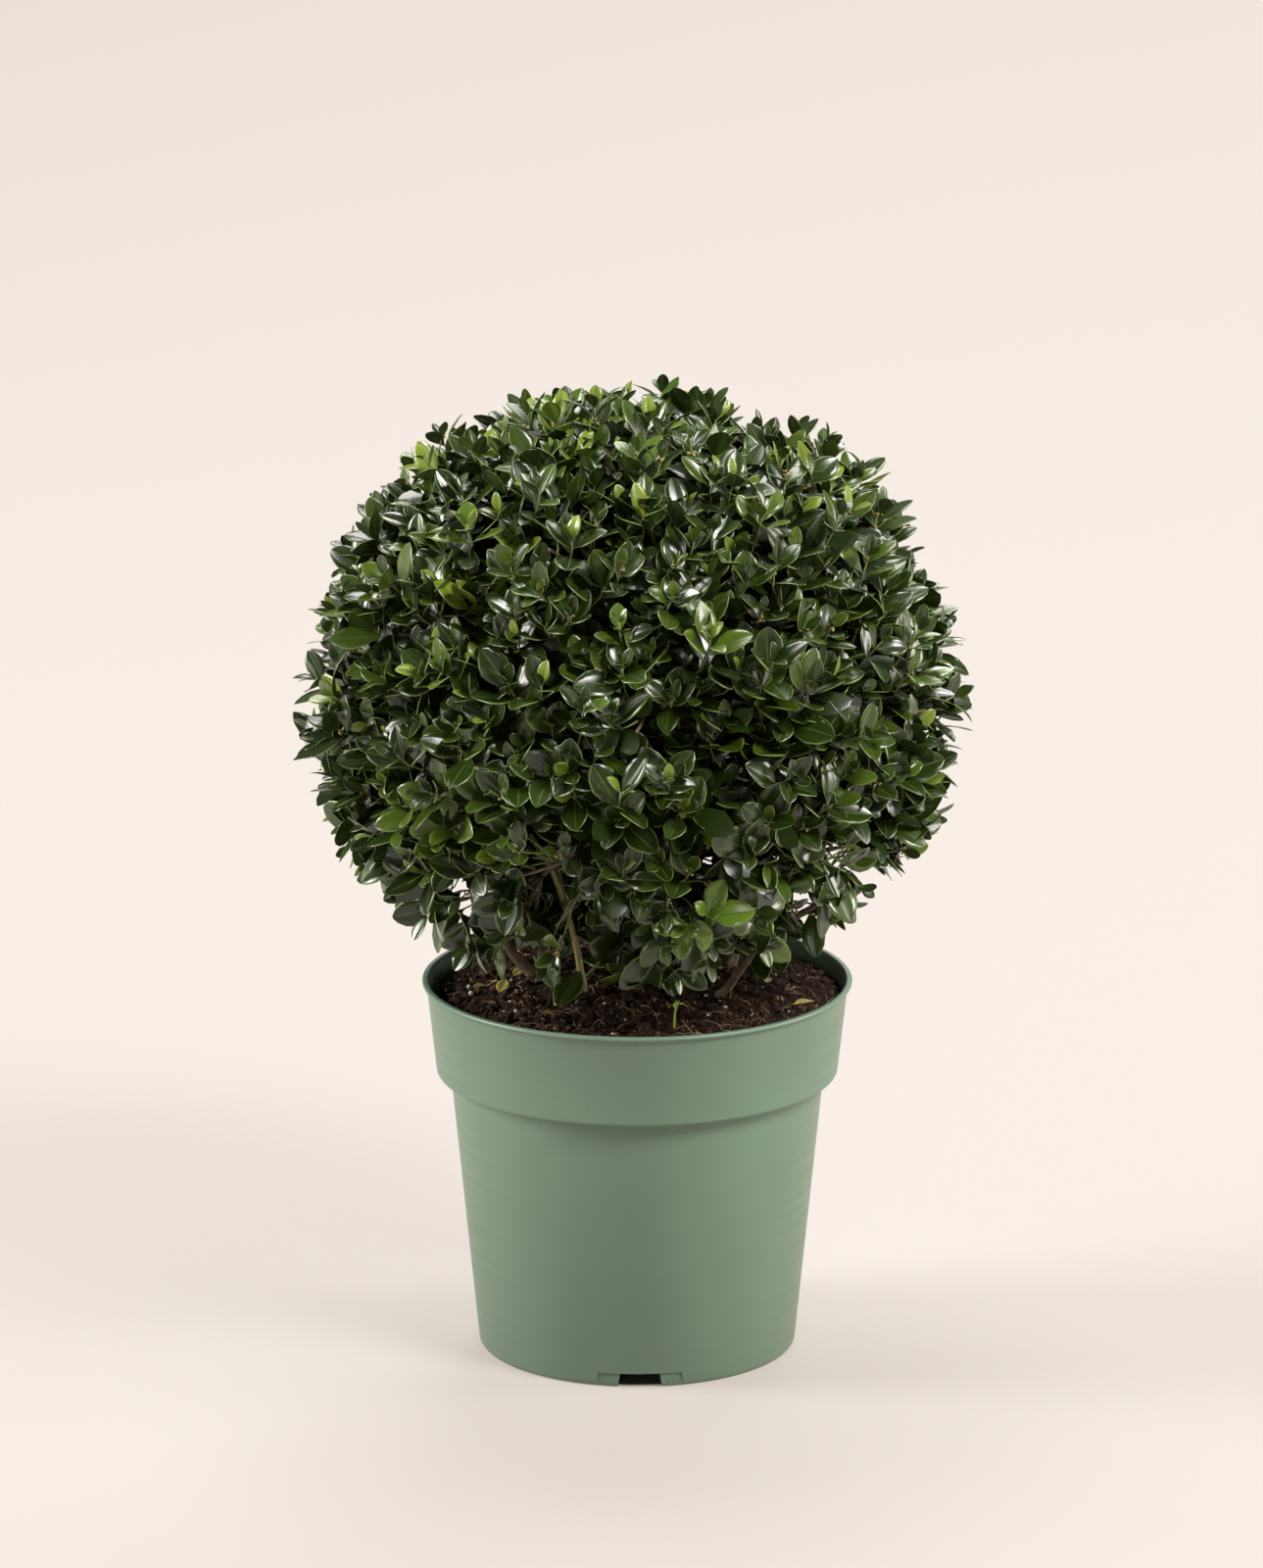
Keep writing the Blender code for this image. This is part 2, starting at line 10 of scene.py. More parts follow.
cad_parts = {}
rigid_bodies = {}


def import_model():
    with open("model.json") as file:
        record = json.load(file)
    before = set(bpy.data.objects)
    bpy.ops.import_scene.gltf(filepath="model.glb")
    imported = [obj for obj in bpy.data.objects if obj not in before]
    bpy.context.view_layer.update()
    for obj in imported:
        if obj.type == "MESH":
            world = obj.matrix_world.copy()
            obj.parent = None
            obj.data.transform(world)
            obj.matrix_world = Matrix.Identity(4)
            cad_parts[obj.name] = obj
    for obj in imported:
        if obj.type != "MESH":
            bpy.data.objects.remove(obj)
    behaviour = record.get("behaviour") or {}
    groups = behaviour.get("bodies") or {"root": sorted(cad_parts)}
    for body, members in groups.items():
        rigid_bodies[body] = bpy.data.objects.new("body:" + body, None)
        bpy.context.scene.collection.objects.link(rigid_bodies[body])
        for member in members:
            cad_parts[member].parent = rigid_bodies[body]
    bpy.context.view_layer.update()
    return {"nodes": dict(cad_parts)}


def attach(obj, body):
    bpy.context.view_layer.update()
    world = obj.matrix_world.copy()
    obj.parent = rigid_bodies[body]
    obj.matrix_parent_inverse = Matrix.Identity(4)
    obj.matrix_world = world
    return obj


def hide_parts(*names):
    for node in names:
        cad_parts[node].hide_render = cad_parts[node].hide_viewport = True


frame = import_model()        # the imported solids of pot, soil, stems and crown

print("loaded", len(frame["nodes"]), "solids")

# helpers for meshes


def addObject(name, data, *materials):
    for item in materials:
        data.materials.append(item)
    made = bpy.data.objects.new(name, data)
    bpy.context.scene.collection.objects.link(made)
    return made


def meshFromArrays(name, points, faces, slots=None):
    mesh = bpy.data.meshes.new(name)
    mesh.from_pydata(points, [], faces)
    if slots is not None:
        mesh.polygons.foreach_set("material_index", slots)
    mesh.polygons.foreach_set("use_smooth", np.ones(len(mesh.polygons), dtype=bool))
    mesh.update()
    return mesh


def addPiece(name, points, faces, *materials, slots=None):
    return addObject(name, meshFromArrays(name, points, faces, slots), *materials)


def meshFromBuilder(name, builder, smooth=True):
    bmesh.ops.recalc_face_normals(builder, faces=builder.faces)
    mesh = bpy.data.meshes.new(name)
    builder.to_mesh(mesh)
    builder.free()
    mesh.polygons.foreach_set("use_smooth", np.full(len(mesh.polygons), smooth))
    return mesh


def applyModifiers(obj):
    graph = bpy.context.evaluated_depsgraph_get()
    finished = bpy.data.meshes.new_from_object(obj.evaluated_get(graph))
    obj.modifiers.clear()
    obj.data = finished


def gridFaces(rows, columns, closed=False):
    # quads of a grid whose points run along each row first
    found = []
    for r in range(rows - 1):
        for c in range(columns if closed else columns - 1):
            d = (c + 1) % columns
            found.append((r * columns + c, r * columns + d, (r + 1) * columns + d, (r + 1) * columns + c))
    return np.array(found)


def normalized(vectors):
    return vectors / np.maximum(np.linalg.norm(vectors, axis=-1, keepdims=True), 1e-9)


def shaken(rule, amount):
    # a small random step in any direction
    return Vector([rule.uniform(-amount, amount) for _ in range(3)])


def squareTo(face, along):
    return (face - along * face.dot(along)).normalized()


def tubesFromLines(lines, radii, sides):
    # lines (n, k, 3) and radii (n, k) give closed-ended tubes in one pair of arrays
    n, k, _ = lines.shape
    along = np.empty_like(lines)
    along[:, 1:-1] = lines[:, 2:] - lines[:, :-2]
    along[:, 0] = lines[:, 1] - lines[:, 0]
    along[:, -1] = lines[:, -1] - lines[:, -2]
    along = normalized(along)
    helper = np.where(np.abs(along[:, :1, 2:3]) > 0.9, [1.0, 0.0, 0.0], [0.0, 0.0, 1.0])
    side = normalized(np.cross(along, helper))
    other = np.cross(along, side)
    angles = 2 * np.pi * np.arange(sides) / sides
    ring = (side[:, :, None] * np.cos(angles)[:, None] + other[:, :, None] * np.sin(angles)[:, None])
    points = lines[:, :, None] + ring * radii[:, :, None, None]
    faces = gridFaces(k, sides, closed=True)
    shift = (np.arange(n) * k * sides)[:, None, None]
    allFaces = (faces[None] + shift).reshape(-1, 4)
    caps = np.array([[sides - 1 - i for i in range(sides)], [(k - 1) * sides + i for i in range(sides)]])
    allCaps = (caps[None] + shift).reshape(-1, sides)
    return points.reshape(-1, 3), [tuple(f) for f in allFaces.tolist()] + [tuple(f) for f in allCaps.tolist()]


# helpers for shaders


def newGroup(name, inputs, outputs):
    group = bpy.data.node_groups.new(name, "ShaderNodeTree")
    for label, kind, value in inputs:
        socket = group.interface.new_socket(name=label, in_out="INPUT", socket_type=kind)
        socket.default_value = value
    for label, kind in outputs:
        group.interface.new_socket(name=label, in_out="OUTPUT", socket_type=kind)
    return group, group.nodes.new("NodeGroupInput"), group.nodes.new("NodeGroupOutput")


def addNode(tree, kind, links=None, **values):
    node = tree.nodes.new(kind)
    for name, value in values.items():
        setattr(node, name, value)
    for socket, source in (links or {}).items():
        if hasattr(source, "is_output"):
            tree.links.new(source, node.inputs[socket])
        else:
            node.inputs[socket].default_value = source
    return node


def remap(tree, value, fromRange=(0.0, 1.0), toRange=(0.0, 1.0), **values):
    node = addNode(tree, "ShaderNodeMapRange", {"Value": value}, **values)
    for label, number in zip(("From Min", "From Max", "To Min", "To Max"), (*fromRange, *toRange)):
        node.inputs[label].default_value = number
    return node.outputs["Result"]


def mixColours(tree, factor, first, second):
    # sockets 0, 6 and 7 are the factor and the two colours, and socket 2 is the colour that comes out
    return addNode(tree, "ShaderNodeMix", {0: factor, 6: first, 7: second}, data_type="RGBA").outputs[2]


def addBump(tree, height, strength, distance, **more):
    links = {"Strength": strength, "Distance": distance, "Height": height, **more}
    return addNode(tree, "ShaderNodeBump", links).outputs["Normal"]


def buildMottleGroup():
    # two colours mixed by a broad and a fine noise; the height follows the fine one
    group, start, end = newGroup(
        "mottle",
        [("Colour", "NodeSocketColor", (0.5, 0.5, 0.5, 1)),
         ("Second Colour", "NodeSocketColor", (0.4, 0.4, 0.4, 1)),
         ("Scale", "NodeSocketFloat", 60.0), ("Fine Scale", "NodeSocketFloat", 600.0),
         ("Fine Share", "NodeSocketFloat", 0.3)],
        [("Colour", "NodeSocketColor"), ("Height", "NodeSocketFloat")],
    )
    given = start.outputs
    place = addNode(group, "ShaderNodeTexCoord").outputs["Object"]
    broad = addNode(group, "ShaderNodeTexNoise", {"Vector": place, "Scale": given["Scale"], "Detail": 3.0})
    fine = addNode(group, "ShaderNodeTexNoise", {"Vector": place, "Scale": given["Fine Scale"], "Detail": 2.0})
    both = addNode(group, "ShaderNodeMix", {"Factor": given["Fine Share"], "A": broad.outputs["Fac"],
                                            "B": fine.outputs["Fac"]}, data_type="FLOAT")
    mask = remap(group, both.outputs["Result"], (0.34, 0.66))
    colour = mixColours(group, mask, given["Colour"], given["Second Colour"])
    group.links.new(colour, end.inputs["Colour"])
    group.links.new(fine.outputs["Fac"], end.inputs["Height"])
    return group


mottleGroup = buildMottleGroup()


def newMaterial(name):
    made = bpy.data.materials.new(name)
    made.use_nodes = True
    return made, made.node_tree, made.node_tree.nodes["Principled BSDF"]


def addMottle(tree, colour, second, scale, fineScale, fineShare):
    values = {"Colour": (*colour, 1), "Second Colour": (*second, 1), "Scale": scale, "Fine Scale": fineScale,
              "Fine Share": fineShare}
    return addNode(tree, "ShaderNodeGroup", values, node_tree=mottleGroup)


# a skin is its colour, second colour, roughness, scale, fine scale, share of the fine noise, bump and its depth
def mottledMaterial(name, colour, second, roughness, scale, fineScale, fineShare=0.3, bump=0.2, depth=0.0004):
    made, tree, shader = newMaterial(name)
    mottle = addMottle(tree, colour, second, scale, fineScale, fineShare)
    tree.links.new(mottle.outputs["Colour"], shader.inputs["Base Color"])
    tree.links.new(addBump(tree, mottle.outputs["Height"], bump, depth), shader.inputs["Normal"])
    shader.inputs["Roughness"].default_value = roughness
    return made


# growth, by the same seeded rule as the solids

crown = {
    "centre": Vector((-0.001, 0.0, 0.434)),
    "side": 0.219, "up": 0.209, "down": 0.2,
    "lowest": -0.93,
    "boughs": 9, "branches": 34, "twigs": 214,
    "shoots": 1000, "shadeShoots": 800,      # at the clipped surface, and behind it
    "boughReach": 0.38, "branchReach": 0.66, "twigReach": 0.88,
    "shootReach": (0.815, 0.95), "shadeReach": (0.64, 0.8),
    "proud": (0.16, 1.038),      # share of the shoots that stand out, and how far
    "sway": 0.045,      # how far a shoot strays from its even place
    "rise": (0.5, 1.45),      # how far the shoots turn upwards
    "thinning": ((-0.8, 0.75), (-0.52, 0.85)),      # below this height on the ball, this share grows
    "lumps": 0.03,
    "shoulders": 0.018, "flatTop": 0.01, "lowRight": 0.11,
    "lumpScale": 3.1,
    "forkAt": (0.3, 0.85), "shadeForkAt": (0.05, 0.5),  # where along its twig a shoot starts
    "shootSize": (0.82, 1.24), "smallerTop": 0.12,      # size of a shoot's leaves
    "openBelow": 0.4,      # clear ways are kept only below this height
    "seed": 7,
}

potRim = {"outer": 0.14, "top": 0.2475, "inner": 0.134}
soilLevel = {"height": 0.2355, "mound": 0.0045, "roughness": 0.0022}
footLevel = soilLevel["height"] + 0.0025
fork = Vector((0.028, 0.02, 0.274))

limbs = {
    "stem_left": ([(-0.066, 0.03, footLevel), (-0.083, 0.028, 0.258), (-0.092, 0.025, 0.29),
                   (-0.102, 0.022, 0.317)], 0.0036, 0.0026, 0.0022),
    "stem_front": ([(-0.0345, -0.006, footLevel), (-0.0395, -0.017, 0.2725), (-0.047, -0.029, 0.305)],
                   0.0022, 0.0018, 0.0009),
    "stem_middle": ([(0.02, 0.022, footLevel), (0.0255, 0.02, 0.258), fork], 0.005, 0.004, 0.003),
    "stem_right": ([(0.0537, -0.0185, footLevel), (0.072, -0.02, 0.265), (0.092, -0.02, 0.287),
                    (0.124, -0.02, 0.305)], 0.0029, 0.0021, 0.0013),
    "stem_back": ([(-0.012, 0.07, footLevel), (-0.022, 0.085, 0.283), (-0.029, 0.101, 0.32)],
                  0.004, 0.0028, 0.0022),
    "stem_back_right": ([(0.06, 0.058, footLevel), (0.078, 0.066, 0.275), (0.102, 0.074, 0.318)],
                        0.0036, 0.0026, 0.002),
    "bough_middle_left": ([fork + Vector((-0.0036, 0.0, 0.0056)), fork + Vector((-0.014, 0.004, 0.026))],
                          0.0028, 0.0022, 0.0),
    "bough_middle_right": ([fork + Vector((0.0036, 0.0, 0.0056)), fork + Vector((0.013, -0.003, 0.026))],
                           0.0028, 0.002, 0.0),
}


def smoothLine(points, steps):
    points = [Vector(p) for p in points]
    padded = [2 * points[0] - points[1], *points, 2 * points[-1] - points[-2]]
    found = []
    for k in range(steps + 1):
        place = k / steps * (len(points) - 1)
        i = min(int(place), len(points) - 2)
        t = place - i
        a, b, c, d = padded[i:i + 4]
        found.append(0.5 * (2 * b + (c - a) * t + (2 * a - 5 * b + 4 * c - d) * t ** 2
                            + (3 * b - a - 3 * c + d) * t ** 3))
    return found


def ballReach(direction):
    height = crown["up"] if direction.z > 0 else crown["down"]
    flat = direction.x ** 2 + direction.y ** 2
    return 1 / math.sqrt(flat / crown["side"] ** 2 + direction.z ** 2 / height ** 2)


def clippedReach(direction):
    # fuller shoulders, a flatter top, and less of it low on the right
    shape = 1 + crown["shoulders"] * math.exp(-((direction.z - 0.66) / 0.22) ** 2)
    shape -= crown["flatTop"] * max(0.0, direction.z) ** 4
    shape -= crown["lowRight"] * max(0.0, direction.x) * max(0.0, -direction.z)
    return ballReach(direction) * shape


def outsideBall(point):
    offset = point - crown["centre"]
    return offset.length / clippedReach(offset.normalized())


def spreadDirections(count, lowest, turn):
    golden = math.pi * (3 - math.sqrt(5))
    found = []
    for k in range(count):
        z = 1 - (1 - lowest) * (k + 0.5) / count
        flat = math.sqrt(max(0.0, 1 - z * z))
        found.append(Vector((flat * math.cos(golden * k + turn), flat * math.sin(golden * k + turn), z)))
    return found


def nearestIndex(direction, others):
    return max(range(len(others)), key=lambda i: direction.dot(others[i]))


def bezier(a, b, c, steps):
    return [a * (1 - t) ** 2 + b * (2 * t * (1 - t)) + c * t * t for t in (k / steps for k in range(steps + 1))]


def growWood():
    # boughs from the tips of the limbs, branches from the boughs, twigs from the branches
    rule = random.Random(crown["seed"])
    centre = crown["centre"]
    tips = [smoothLine(points, 6)[-1] for name, (points, *_) in limbs.items() if name != "stem_middle"]
    boughs, branches, twigs = [], [], []
    for direction in spreadDirections(crown["boughs"], crown["lowest"], 0.3):
        end = centre + direction * ballReach(direction) * crown["boughReach"]
        root = min(tips, key=lambda tip: (tip - end).length)
        boughs.append((root, end, direction))
    for direction in spreadDirections(crown["branches"], crown["lowest"], 1.1):
        bough = boughs[nearestIndex(direction, [b[2] for b in boughs])]
        branches.append((bough[1], centre + direction * ballReach(direction) * crown["branchReach"], direction))
    for direction in spreadDirections(crown["twigs"], crown["lowest"], 2.0):
        branch = branches[nearestIndex(direction, [b[2] for b in branches])]
        aim = (direction + shaken(rule, 0.05)).normalized()
        tip = centre + aim * ballReach(aim) * crown["twigReach"] * rule.uniform(0.96, 1.03)
        twigs.append((branch[1] + (branch[0] - branch[1]) * 0.04, tip, aim))
    return boughs, branches, twigs


boughs, branches, twigs = growWood()

hollow = {  # a dark dent in the front
    "aim": Vector((0.06, -0.96, 0.235)).normalized(), "spread": 0.9935, "kept": 0.25, "reach": 0.86,
}
# where each stands on the ball, the way it grows, size, green, distances of its leaf pairs from the tip
feature = [
    ((0.017, -0.202, 0.434), (0.1, -0.62, 0.6), 1.22, "leafDark", (0.001, 0.007, 0.015, 0.024)),
    ((0.044, -0.18, 0.34), (0.05, -0.7, 0.5), 1.12, "leafBright", (0.001, 0.006, 0.013, 0.021)),
    ((0.03, -0.172, 0.331), (-0.25, -0.8, 0.15), 0.9, "leafFresh", (0.001, 0.006, 0.013)),
    ((-0.074, -0.058, 0.372), (-0.15, -0.35, 0.85), 0.8, "leafYoung", (0.001, 0.007, 0.016, 0.026, 0.038)),
    ((-0.115, -0.16, 0.455), (-0.25, -0.6, 0.55), 1.2, "leafMid", (0.001, 0.007, 0.016, 0.026)),
    ((-0.195, -0.055, 0.45), (-0.6, -0.2, 0.6), 0.85, "leafYoung", (0.001, 0.007, 0.014)),
    ((-0.052, -0.02, 0.628), (-0.2, -0.05, 0.9), 0.8, "leafYoung", (0.001, 0.007, 0.014, 0.022)),
    ((-0.126, 0.01, 0.292), (-0.35, -0.3, -0.45), 0.75, "leafFaded", (0.001, 0.008)),
    ((-0.003, -0.05, 0.266), (0.5, -0.15, -0.85), 1.3, "leafDark", (0.001, 0.007)),
]

sightLine = Vector((0.0, -0.966, 0.26))      # from the plant towards the camera
skyGaps = [  # where the sky shows through the lower ball: across, height over the pot's middle, radius
    (-0.1168, 0.3103, 0.002), (-0.11, 0.297, 0.0015), (0.0434, 0.3265, 0.003), (0.0236, 0.3016, 0.002),
    (0.0874, 0.3326, 0.0025), (0.0944, 0.3245, 0.002), (0.1436, 0.3184, 0.0025), (0.1059, 0.3016, 0.002),
    (0.1104, 0.2868, 0.003), (0.0357, 0.3575, 0.0025), (-0.068, 0.304, 0.002), (0.129, 0.333, 0.0025),
]


stemViews = [  # points on the stems that stay in view: place, length of the clear way, its radius
    ((-0.035, -0.009, 0.25), 0.14, 0.006), ((-0.0395, -0.018, 0.272), 0.14, 0.006),
    ((-0.0435, -0.024, 0.29), 0.14, 0.006), ((-0.0475, -0.03, 0.307), 0.14, 0.006),
    ((-0.053, -0.037, 0.323), 0.14, 0.005), ((-0.059, -0.044, 0.34), 0.14, 0.004),
    ((-0.065, -0.049, 0.351), 0.14, 0.003),
    ((-0.072, 0.029, 0.25), 0.18, 0.006), ((-0.084, 0.027, 0.264), 0.18, 0.002),
    ((-0.09, 0.026, 0.284), 0.18, 0.001),
    ((0.058, -0.019, 0.248), 0.15, 0.006), ((0.072, -0.02, 0.265), 0.15, 0.004),
    ((0.034, 0.019, 0.3), 0.21, 0.002), ((0.046, 0.015, 0.33), 0.21, 0.002),
]


def openTunnels():
    # clear ways from the front, through which the stems are seen under the ball, and the sky through it
    found = []
    for place, length, radius in stemViews:
        start = Vector(place)
        found.append((start, start + sightLine * length, radius))
    for across, height, radius in skyGaps:
        middle = Vector((across, 0.0, height))
        found.append((middle - sightLine * 0.23, middle + sightLine * 0.23, radius))
    return found


tunnels = openTunnels()


def inTunnel(point, spare=0.0):
    for start, end, radius in tunnels:
        reach = end - start
        share = max(0.0, min(1.0, (point - start).dot(reach) / reach.length_squared))
        if (point - start - reach * share).length < radius + spare:
            return True
    return False


def makeShoot(start, end, heading, aim, **more):
    bend = end - heading * (end - start).length * 0.55
    return {"line": bezier(start, bend, end, 5), "heading": heading, "aim": aim, "leaves": 0, **more}


def growShoots():
    # the last forking: each shoot leaves the nearest twig and turns up to the clipped surface
    rule = random.Random(crown["seed"] + 2)
    centre = crown["centre"]
    twigAims = np.array([t[2] for t in twigs])
    proudShare, proudReach = crown["proud"]
    shoots = []

    def nearestTwig(aim):
        return twigs[int(np.argmax(twigAims @ np.array(aim)))]

    def grow(direction, reach, shade):
        aim = (direction + shaken(rule, crown["sway"])).normalized()
        below = (aim - Vector((0, 0, 0.1))).normalized()
        root, tip, _ = nearestTwig(below)
        reach = clippedReach(aim) * reach * (1 + crown["lumps"] * noise.noise(aim * crown["lumpScale"]))
        reach *= proudReach if not shade and rule.random() < proudShare else 1.0
        start = root.lerp(tip, rule.uniform(*crown["shadeForkAt" if shade else "forkAt"]))
        end = centre + aim * reach
        share = rule.random()
        for height, kept in crown["thinning"]:
            if not shade and aim.y < 0.1 and aim.z < height and share > kept:
                return
        if aim.dot(hollow["aim"]) > hollow["spread"] and share > hollow["kept"]:
            end = centre + aim * reach * hollow["reach"]
        if end.z < potRim["top"] + 0.01 or (end - start).length < 0.012:
            return
        rise = rule.uniform(*crown["rise"]) * (1 if aim.z > -0.35 else 0.35)
        heading = (aim + Vector((0, 0, rise)) + shaken(rule, 0.25)).normalized()
        size = rule.uniform(*crown["shootSize"]) * (1.0 - crown["smallerTop"] * aim.z)
        made = makeShoot(start, end, heading, aim, shade=shade, size=size, green=None, pairs=leafShape["pairs"])
        if end.z > crown["openBelow"] or not (inTunnel(made["line"][-1]) or inTunnel(made["line"][3])):
            shoots.append(made)

    for direction in spreadDirections(crown["shoots"], crown["lowest"] - 0.03, 2.9):
        grow(direction, rule.uniform(*crown["shootReach"]), False)
    for direction in spreadDirections(crown["shadeShoots"], crown["lowest"], 0.7):
        grow(direction, rule.uniform(*crown["shadeReach"]), True)
    for place, heading, size, green, pairs in feature:
        end, heading = Vector(place), Vector(heading).normalized()
        aim = (end - centre).normalized()
        root, tip, _ = nearestTwig(aim)
        shoots.append(makeShoot(root.lerp(tip, 0.5), end, heading, aim, shade=False, size=size, green=green,
                                pairs=pairs))
    return shoots


# leaves

leafShape = {
    # rows and columns of the grid of a leaf in the light, and of one in the shade
    "fine": ((0.0, 0.07, 0.18, 0.36, 0.56, 0.76, 0.92, 1.0),
             (-1.0, -0.93, -0.5, -0.045, 0.045, 0.5, 0.93, 1.0)),
    "plain": ((0.0, 0.1, 0.35, 0.65, 0.9, 1.0), (-1.0, -0.5, 0.0, 0.5, 1.0)),
    "widest": 1.14,
    # each pair of leaves: how far it stands down the shoot, its lengths, and how wide it opens in degrees
    "pairs": (0.001, 0.007, 0.0155, 0.026, 0.038, 0.05),
    "lengths": ((0.013, 0.019), (0.022, 0.03), (0.026, 0.034), (0.026, 0.034), (0.023, 0.03), (0.02, 0.026)),
    "openings": ((12, 28), (26, 46), (36, 58), (46, 68), (56, 80), (62, 86)),
    "width": (0.46, 0.61),
    "droop": (-0.34, 0.04), "fold": (0.06, 0.34), "twist": 0.4,
    "spacing": (0.85, 1.2), "turn": 0.25, "tilt": 0.5,      # chance in how the pairs stand
    "lift": 0.3, "outward": 0.15,      # how far the faces turn up and out
    "overhang": 1.032, "shortest": 0.72,      # how far leaves pass the ball, and what clipping leaves
    "lowest": 0.27,      # height that most leaves stay above
    "hanging": 0.1, "hangingLowest": 0.247,      # share that hangs lower, and how low
    "clearance": 0.22,      # room beside a clear way, in leaf lengths
}

stemLeaves = [  # root and tip of the leaves that stand on the front and right stems
    ((-0.0365, -0.0115, 0.256), (-0.0515, -0.042, 0.241)),
    ((-0.038, -0.0145, 0.264), (-0.009, -0.031, 0.268)),
    ((-0.042, -0.0215, 0.283), (-0.011, -0.036, 0.284)),
    ((-0.0455, -0.027, 0.3), (-0.0785, -0.04, 0.302)),
    ((-0.0685, -0.0515, 0.356), (-0.08, -0.078, 0.333)),
    ((0.078, -0.0215, 0.2715), (0.0823, -0.046, 0.26)),
    ((0.09, -0.021, 0.285), (0.0932, -0.045, 0.264)),
    ((0.112, -0.021, 0.299), (0.1155, -0.037, 0.271)),
]

leafGreens = {  # colour, and the share of the sprays that have it: low in the ball, and on its top
    # the darkest green is older leaves' colour, and also painted shade for the leaves inside the ball
    "leafOldAndShaded": ((0.0078, 0.0165, 0.001), 0.38, 0.16),
    "leafDark": ((0.0126, 0.0255, 0.0015), 0.35, 0.3),
    "leafMid": ((0.025, 0.046, 0.0022), 0.18, 0.3),
    "leafFresh": ((0.048, 0.081, 0.0056), 0.07, 0.16),
    "leafBright": ((0.07, 0.125, 0.009), 0.0, 0.0),
    "leafYoung": ((0.12, 0.165, 0.015), 0.012, 0.07),
    "leafFaded": ((0.21, 0.175, 0.035), 0.0, 0.0),
}
greenNames = list(leafGreens)


def pickGreen(rule, height, tip):
    if tip and rule.random() < 0.08 + 0.14 * max(0.0, height):
        return "leafYoung"
    place = rule.random()
    top = min(1.0, max(0.0, height))
    for name in greenNames:
        place -= leafGreens[name][1] * (1 - top) + leafGreens[name][2] * top
        if place < 0:
            return name
    return "leafDark"


def leafAt(heading, turn, opening, tilt):
    side = heading.cross(Vector((0.2, 0.1, 1.0))).normalized()
    side = Matrix.Rotation(turn, 3, heading) @ side
    along = (heading * math.cos(opening) + side * math.sin(opening)).normalized()
    return along, Matrix.Rotation(tilt, 3, along) @ squareTo(heading, along)


def limbSamples(steps=14):
    # points along the limbs, each with the limb's radius there
    found = []
    for points, rootRadius, tipRadius, flare in limbs.values():
        for k, p in enumerate(smoothLine(points, steps)):
            found.append((*p, rootRadius + (tipRadius - rootRadius) * k / steps))
    return np.array(found)


limbPoints = limbSamples()
shoots = growShoots()
print(f"growth: {len(boughs)} boughs, {len(branches)} branches, {len(twigs)} twigs, {len(shoots)} shoots")


def hasRoom(point, along, length, lowest):
    # a leaf keeps off the pot's wall, the soil, the clear ways and the stems
    for share in (0.35, 0.7, 1.0):
        p = point + along * length * share
        radius = math.hypot(p.x, p.y)
        if p.z < potRim["top"] + 0.003 and radius > potRim["inner"] - 0.008:
            return False
        if p.z < lowest:
            return False
        if p.z < crown["openBelow"] and inTunnel(p, length * leafShape["clearance"]):
            return False
        if p.z < 0.34:
            away = np.linalg.norm(limbPoints[:, :3] - np.array(p), axis=1) - limbPoints[:, 3]
            if away.min() < 0.002:
                return False
    return True


def growLeaves():
    rule = random.Random(crown["seed"] + 5)
    fine, plain = [], []
    for shoot in shoots:
        line, aim = shoot["line"], shoot["aim"]
        total = sum((b - a).length for a, b in zip(line, line[1:]))
        turn = rule.uniform(0, math.pi)
        # sprays in the shade inside the ball take the darkest green, as painted shade
        green = shoot["green"] or ("leafOldAndShaded" if shoot["shade"] else pickGreen(rule, aim.z, False))
        stretch = rule.uniform(*leafShape["spacing"])
        lowest = leafShape["lowest"] + 0.006 * noise.noise(aim * 9)
        if rule.random() < leafShape["hanging"] or aim.y > 0.1:
            lowest = leafShape["hangingLowest"]
        for k, back in enumerate(shoot["pairs"]):
            back *= stretch
            if back > total - 0.003:
                break
            place = (1 - back / total) * (len(line) - 1)
            i = min(int(place), len(line) - 2)
            point = line[i].lerp(line[i + 1], place - i)
            forward = (shoot["heading"] + (line[i + 1] - line[i]).normalized() * 0.35 * k).normalized()
            low, high = leafShape["openings"][k]
            for sign in (0, math.pi):
                along, face = leafAt(forward, turn + sign + rule.uniform(-1, 1) * leafShape["turn"],
                                     math.radians(rule.uniform(low, high)),
                                     rule.uniform(-1, 1) * leafShape["tilt"])
                up = Vector((0, 0, leafShape["lift"]))
                face = squareTo((face + up + aim * leafShape["outward"]).normalized(), along)
                length = rule.uniform(*leafShape["lengths"][k]) * shoot["size"]
                shortest = length * leafShape["shortest"]
                while length > shortest and outsideBall(point + along * length) > leafShape["overhang"]:
                    length *= 0.96
                if outsideBall(point + along * length) > leafShape["overhang"] + 0.01:
                    continue
                if not hasRoom(point, along, length, lowest):
                    continue
                colour = green
                if not shoot["green"] and not shoot["shade"]:
                    if rule.random() < 0.2 or k == 0:
                        colour = pickGreen(rule, aim.z, k == 0)
                    if k > 0 and aim.z < 0.5 and colour == "leafYoung":
                        colour = "leafFresh"
                    # pairs far back from the tip take the darkest green: older leaves, and painted shade inside
                    # the ball
                    if k > 2:
                        colour = "leafOldAndShaded"
                leaf = (point, along, face, length, length * rule.uniform(*leafShape["width"]),
                        rule.uniform(*leafShape["droop"]), rule.uniform(*leafShape["fold"]),
                        rule.uniform(-1, 1) * leafShape["twist"], greenNames.index(colour))
                (plain if shoot["shade"] or k > 2 else fine).append(leaf)
                shoot["leaves"] += 1
            turn += math.pi / 2 + rule.uniform(-0.2, 0.2)
    for root, tip in stemLeaves:
        root, tip = Vector(root), Vector(tip)
        along = (tip - root).normalized()
        face = squareTo(Vector((0, -0.6, 1)), along)
        length = (tip - root).length
        fine.append((root, along, face, length, length * 0.5, -0.08, 0.2, rule.uniform(-0.3, 0.3),
                     greenNames.index("leafDark")))
    return fine, plain


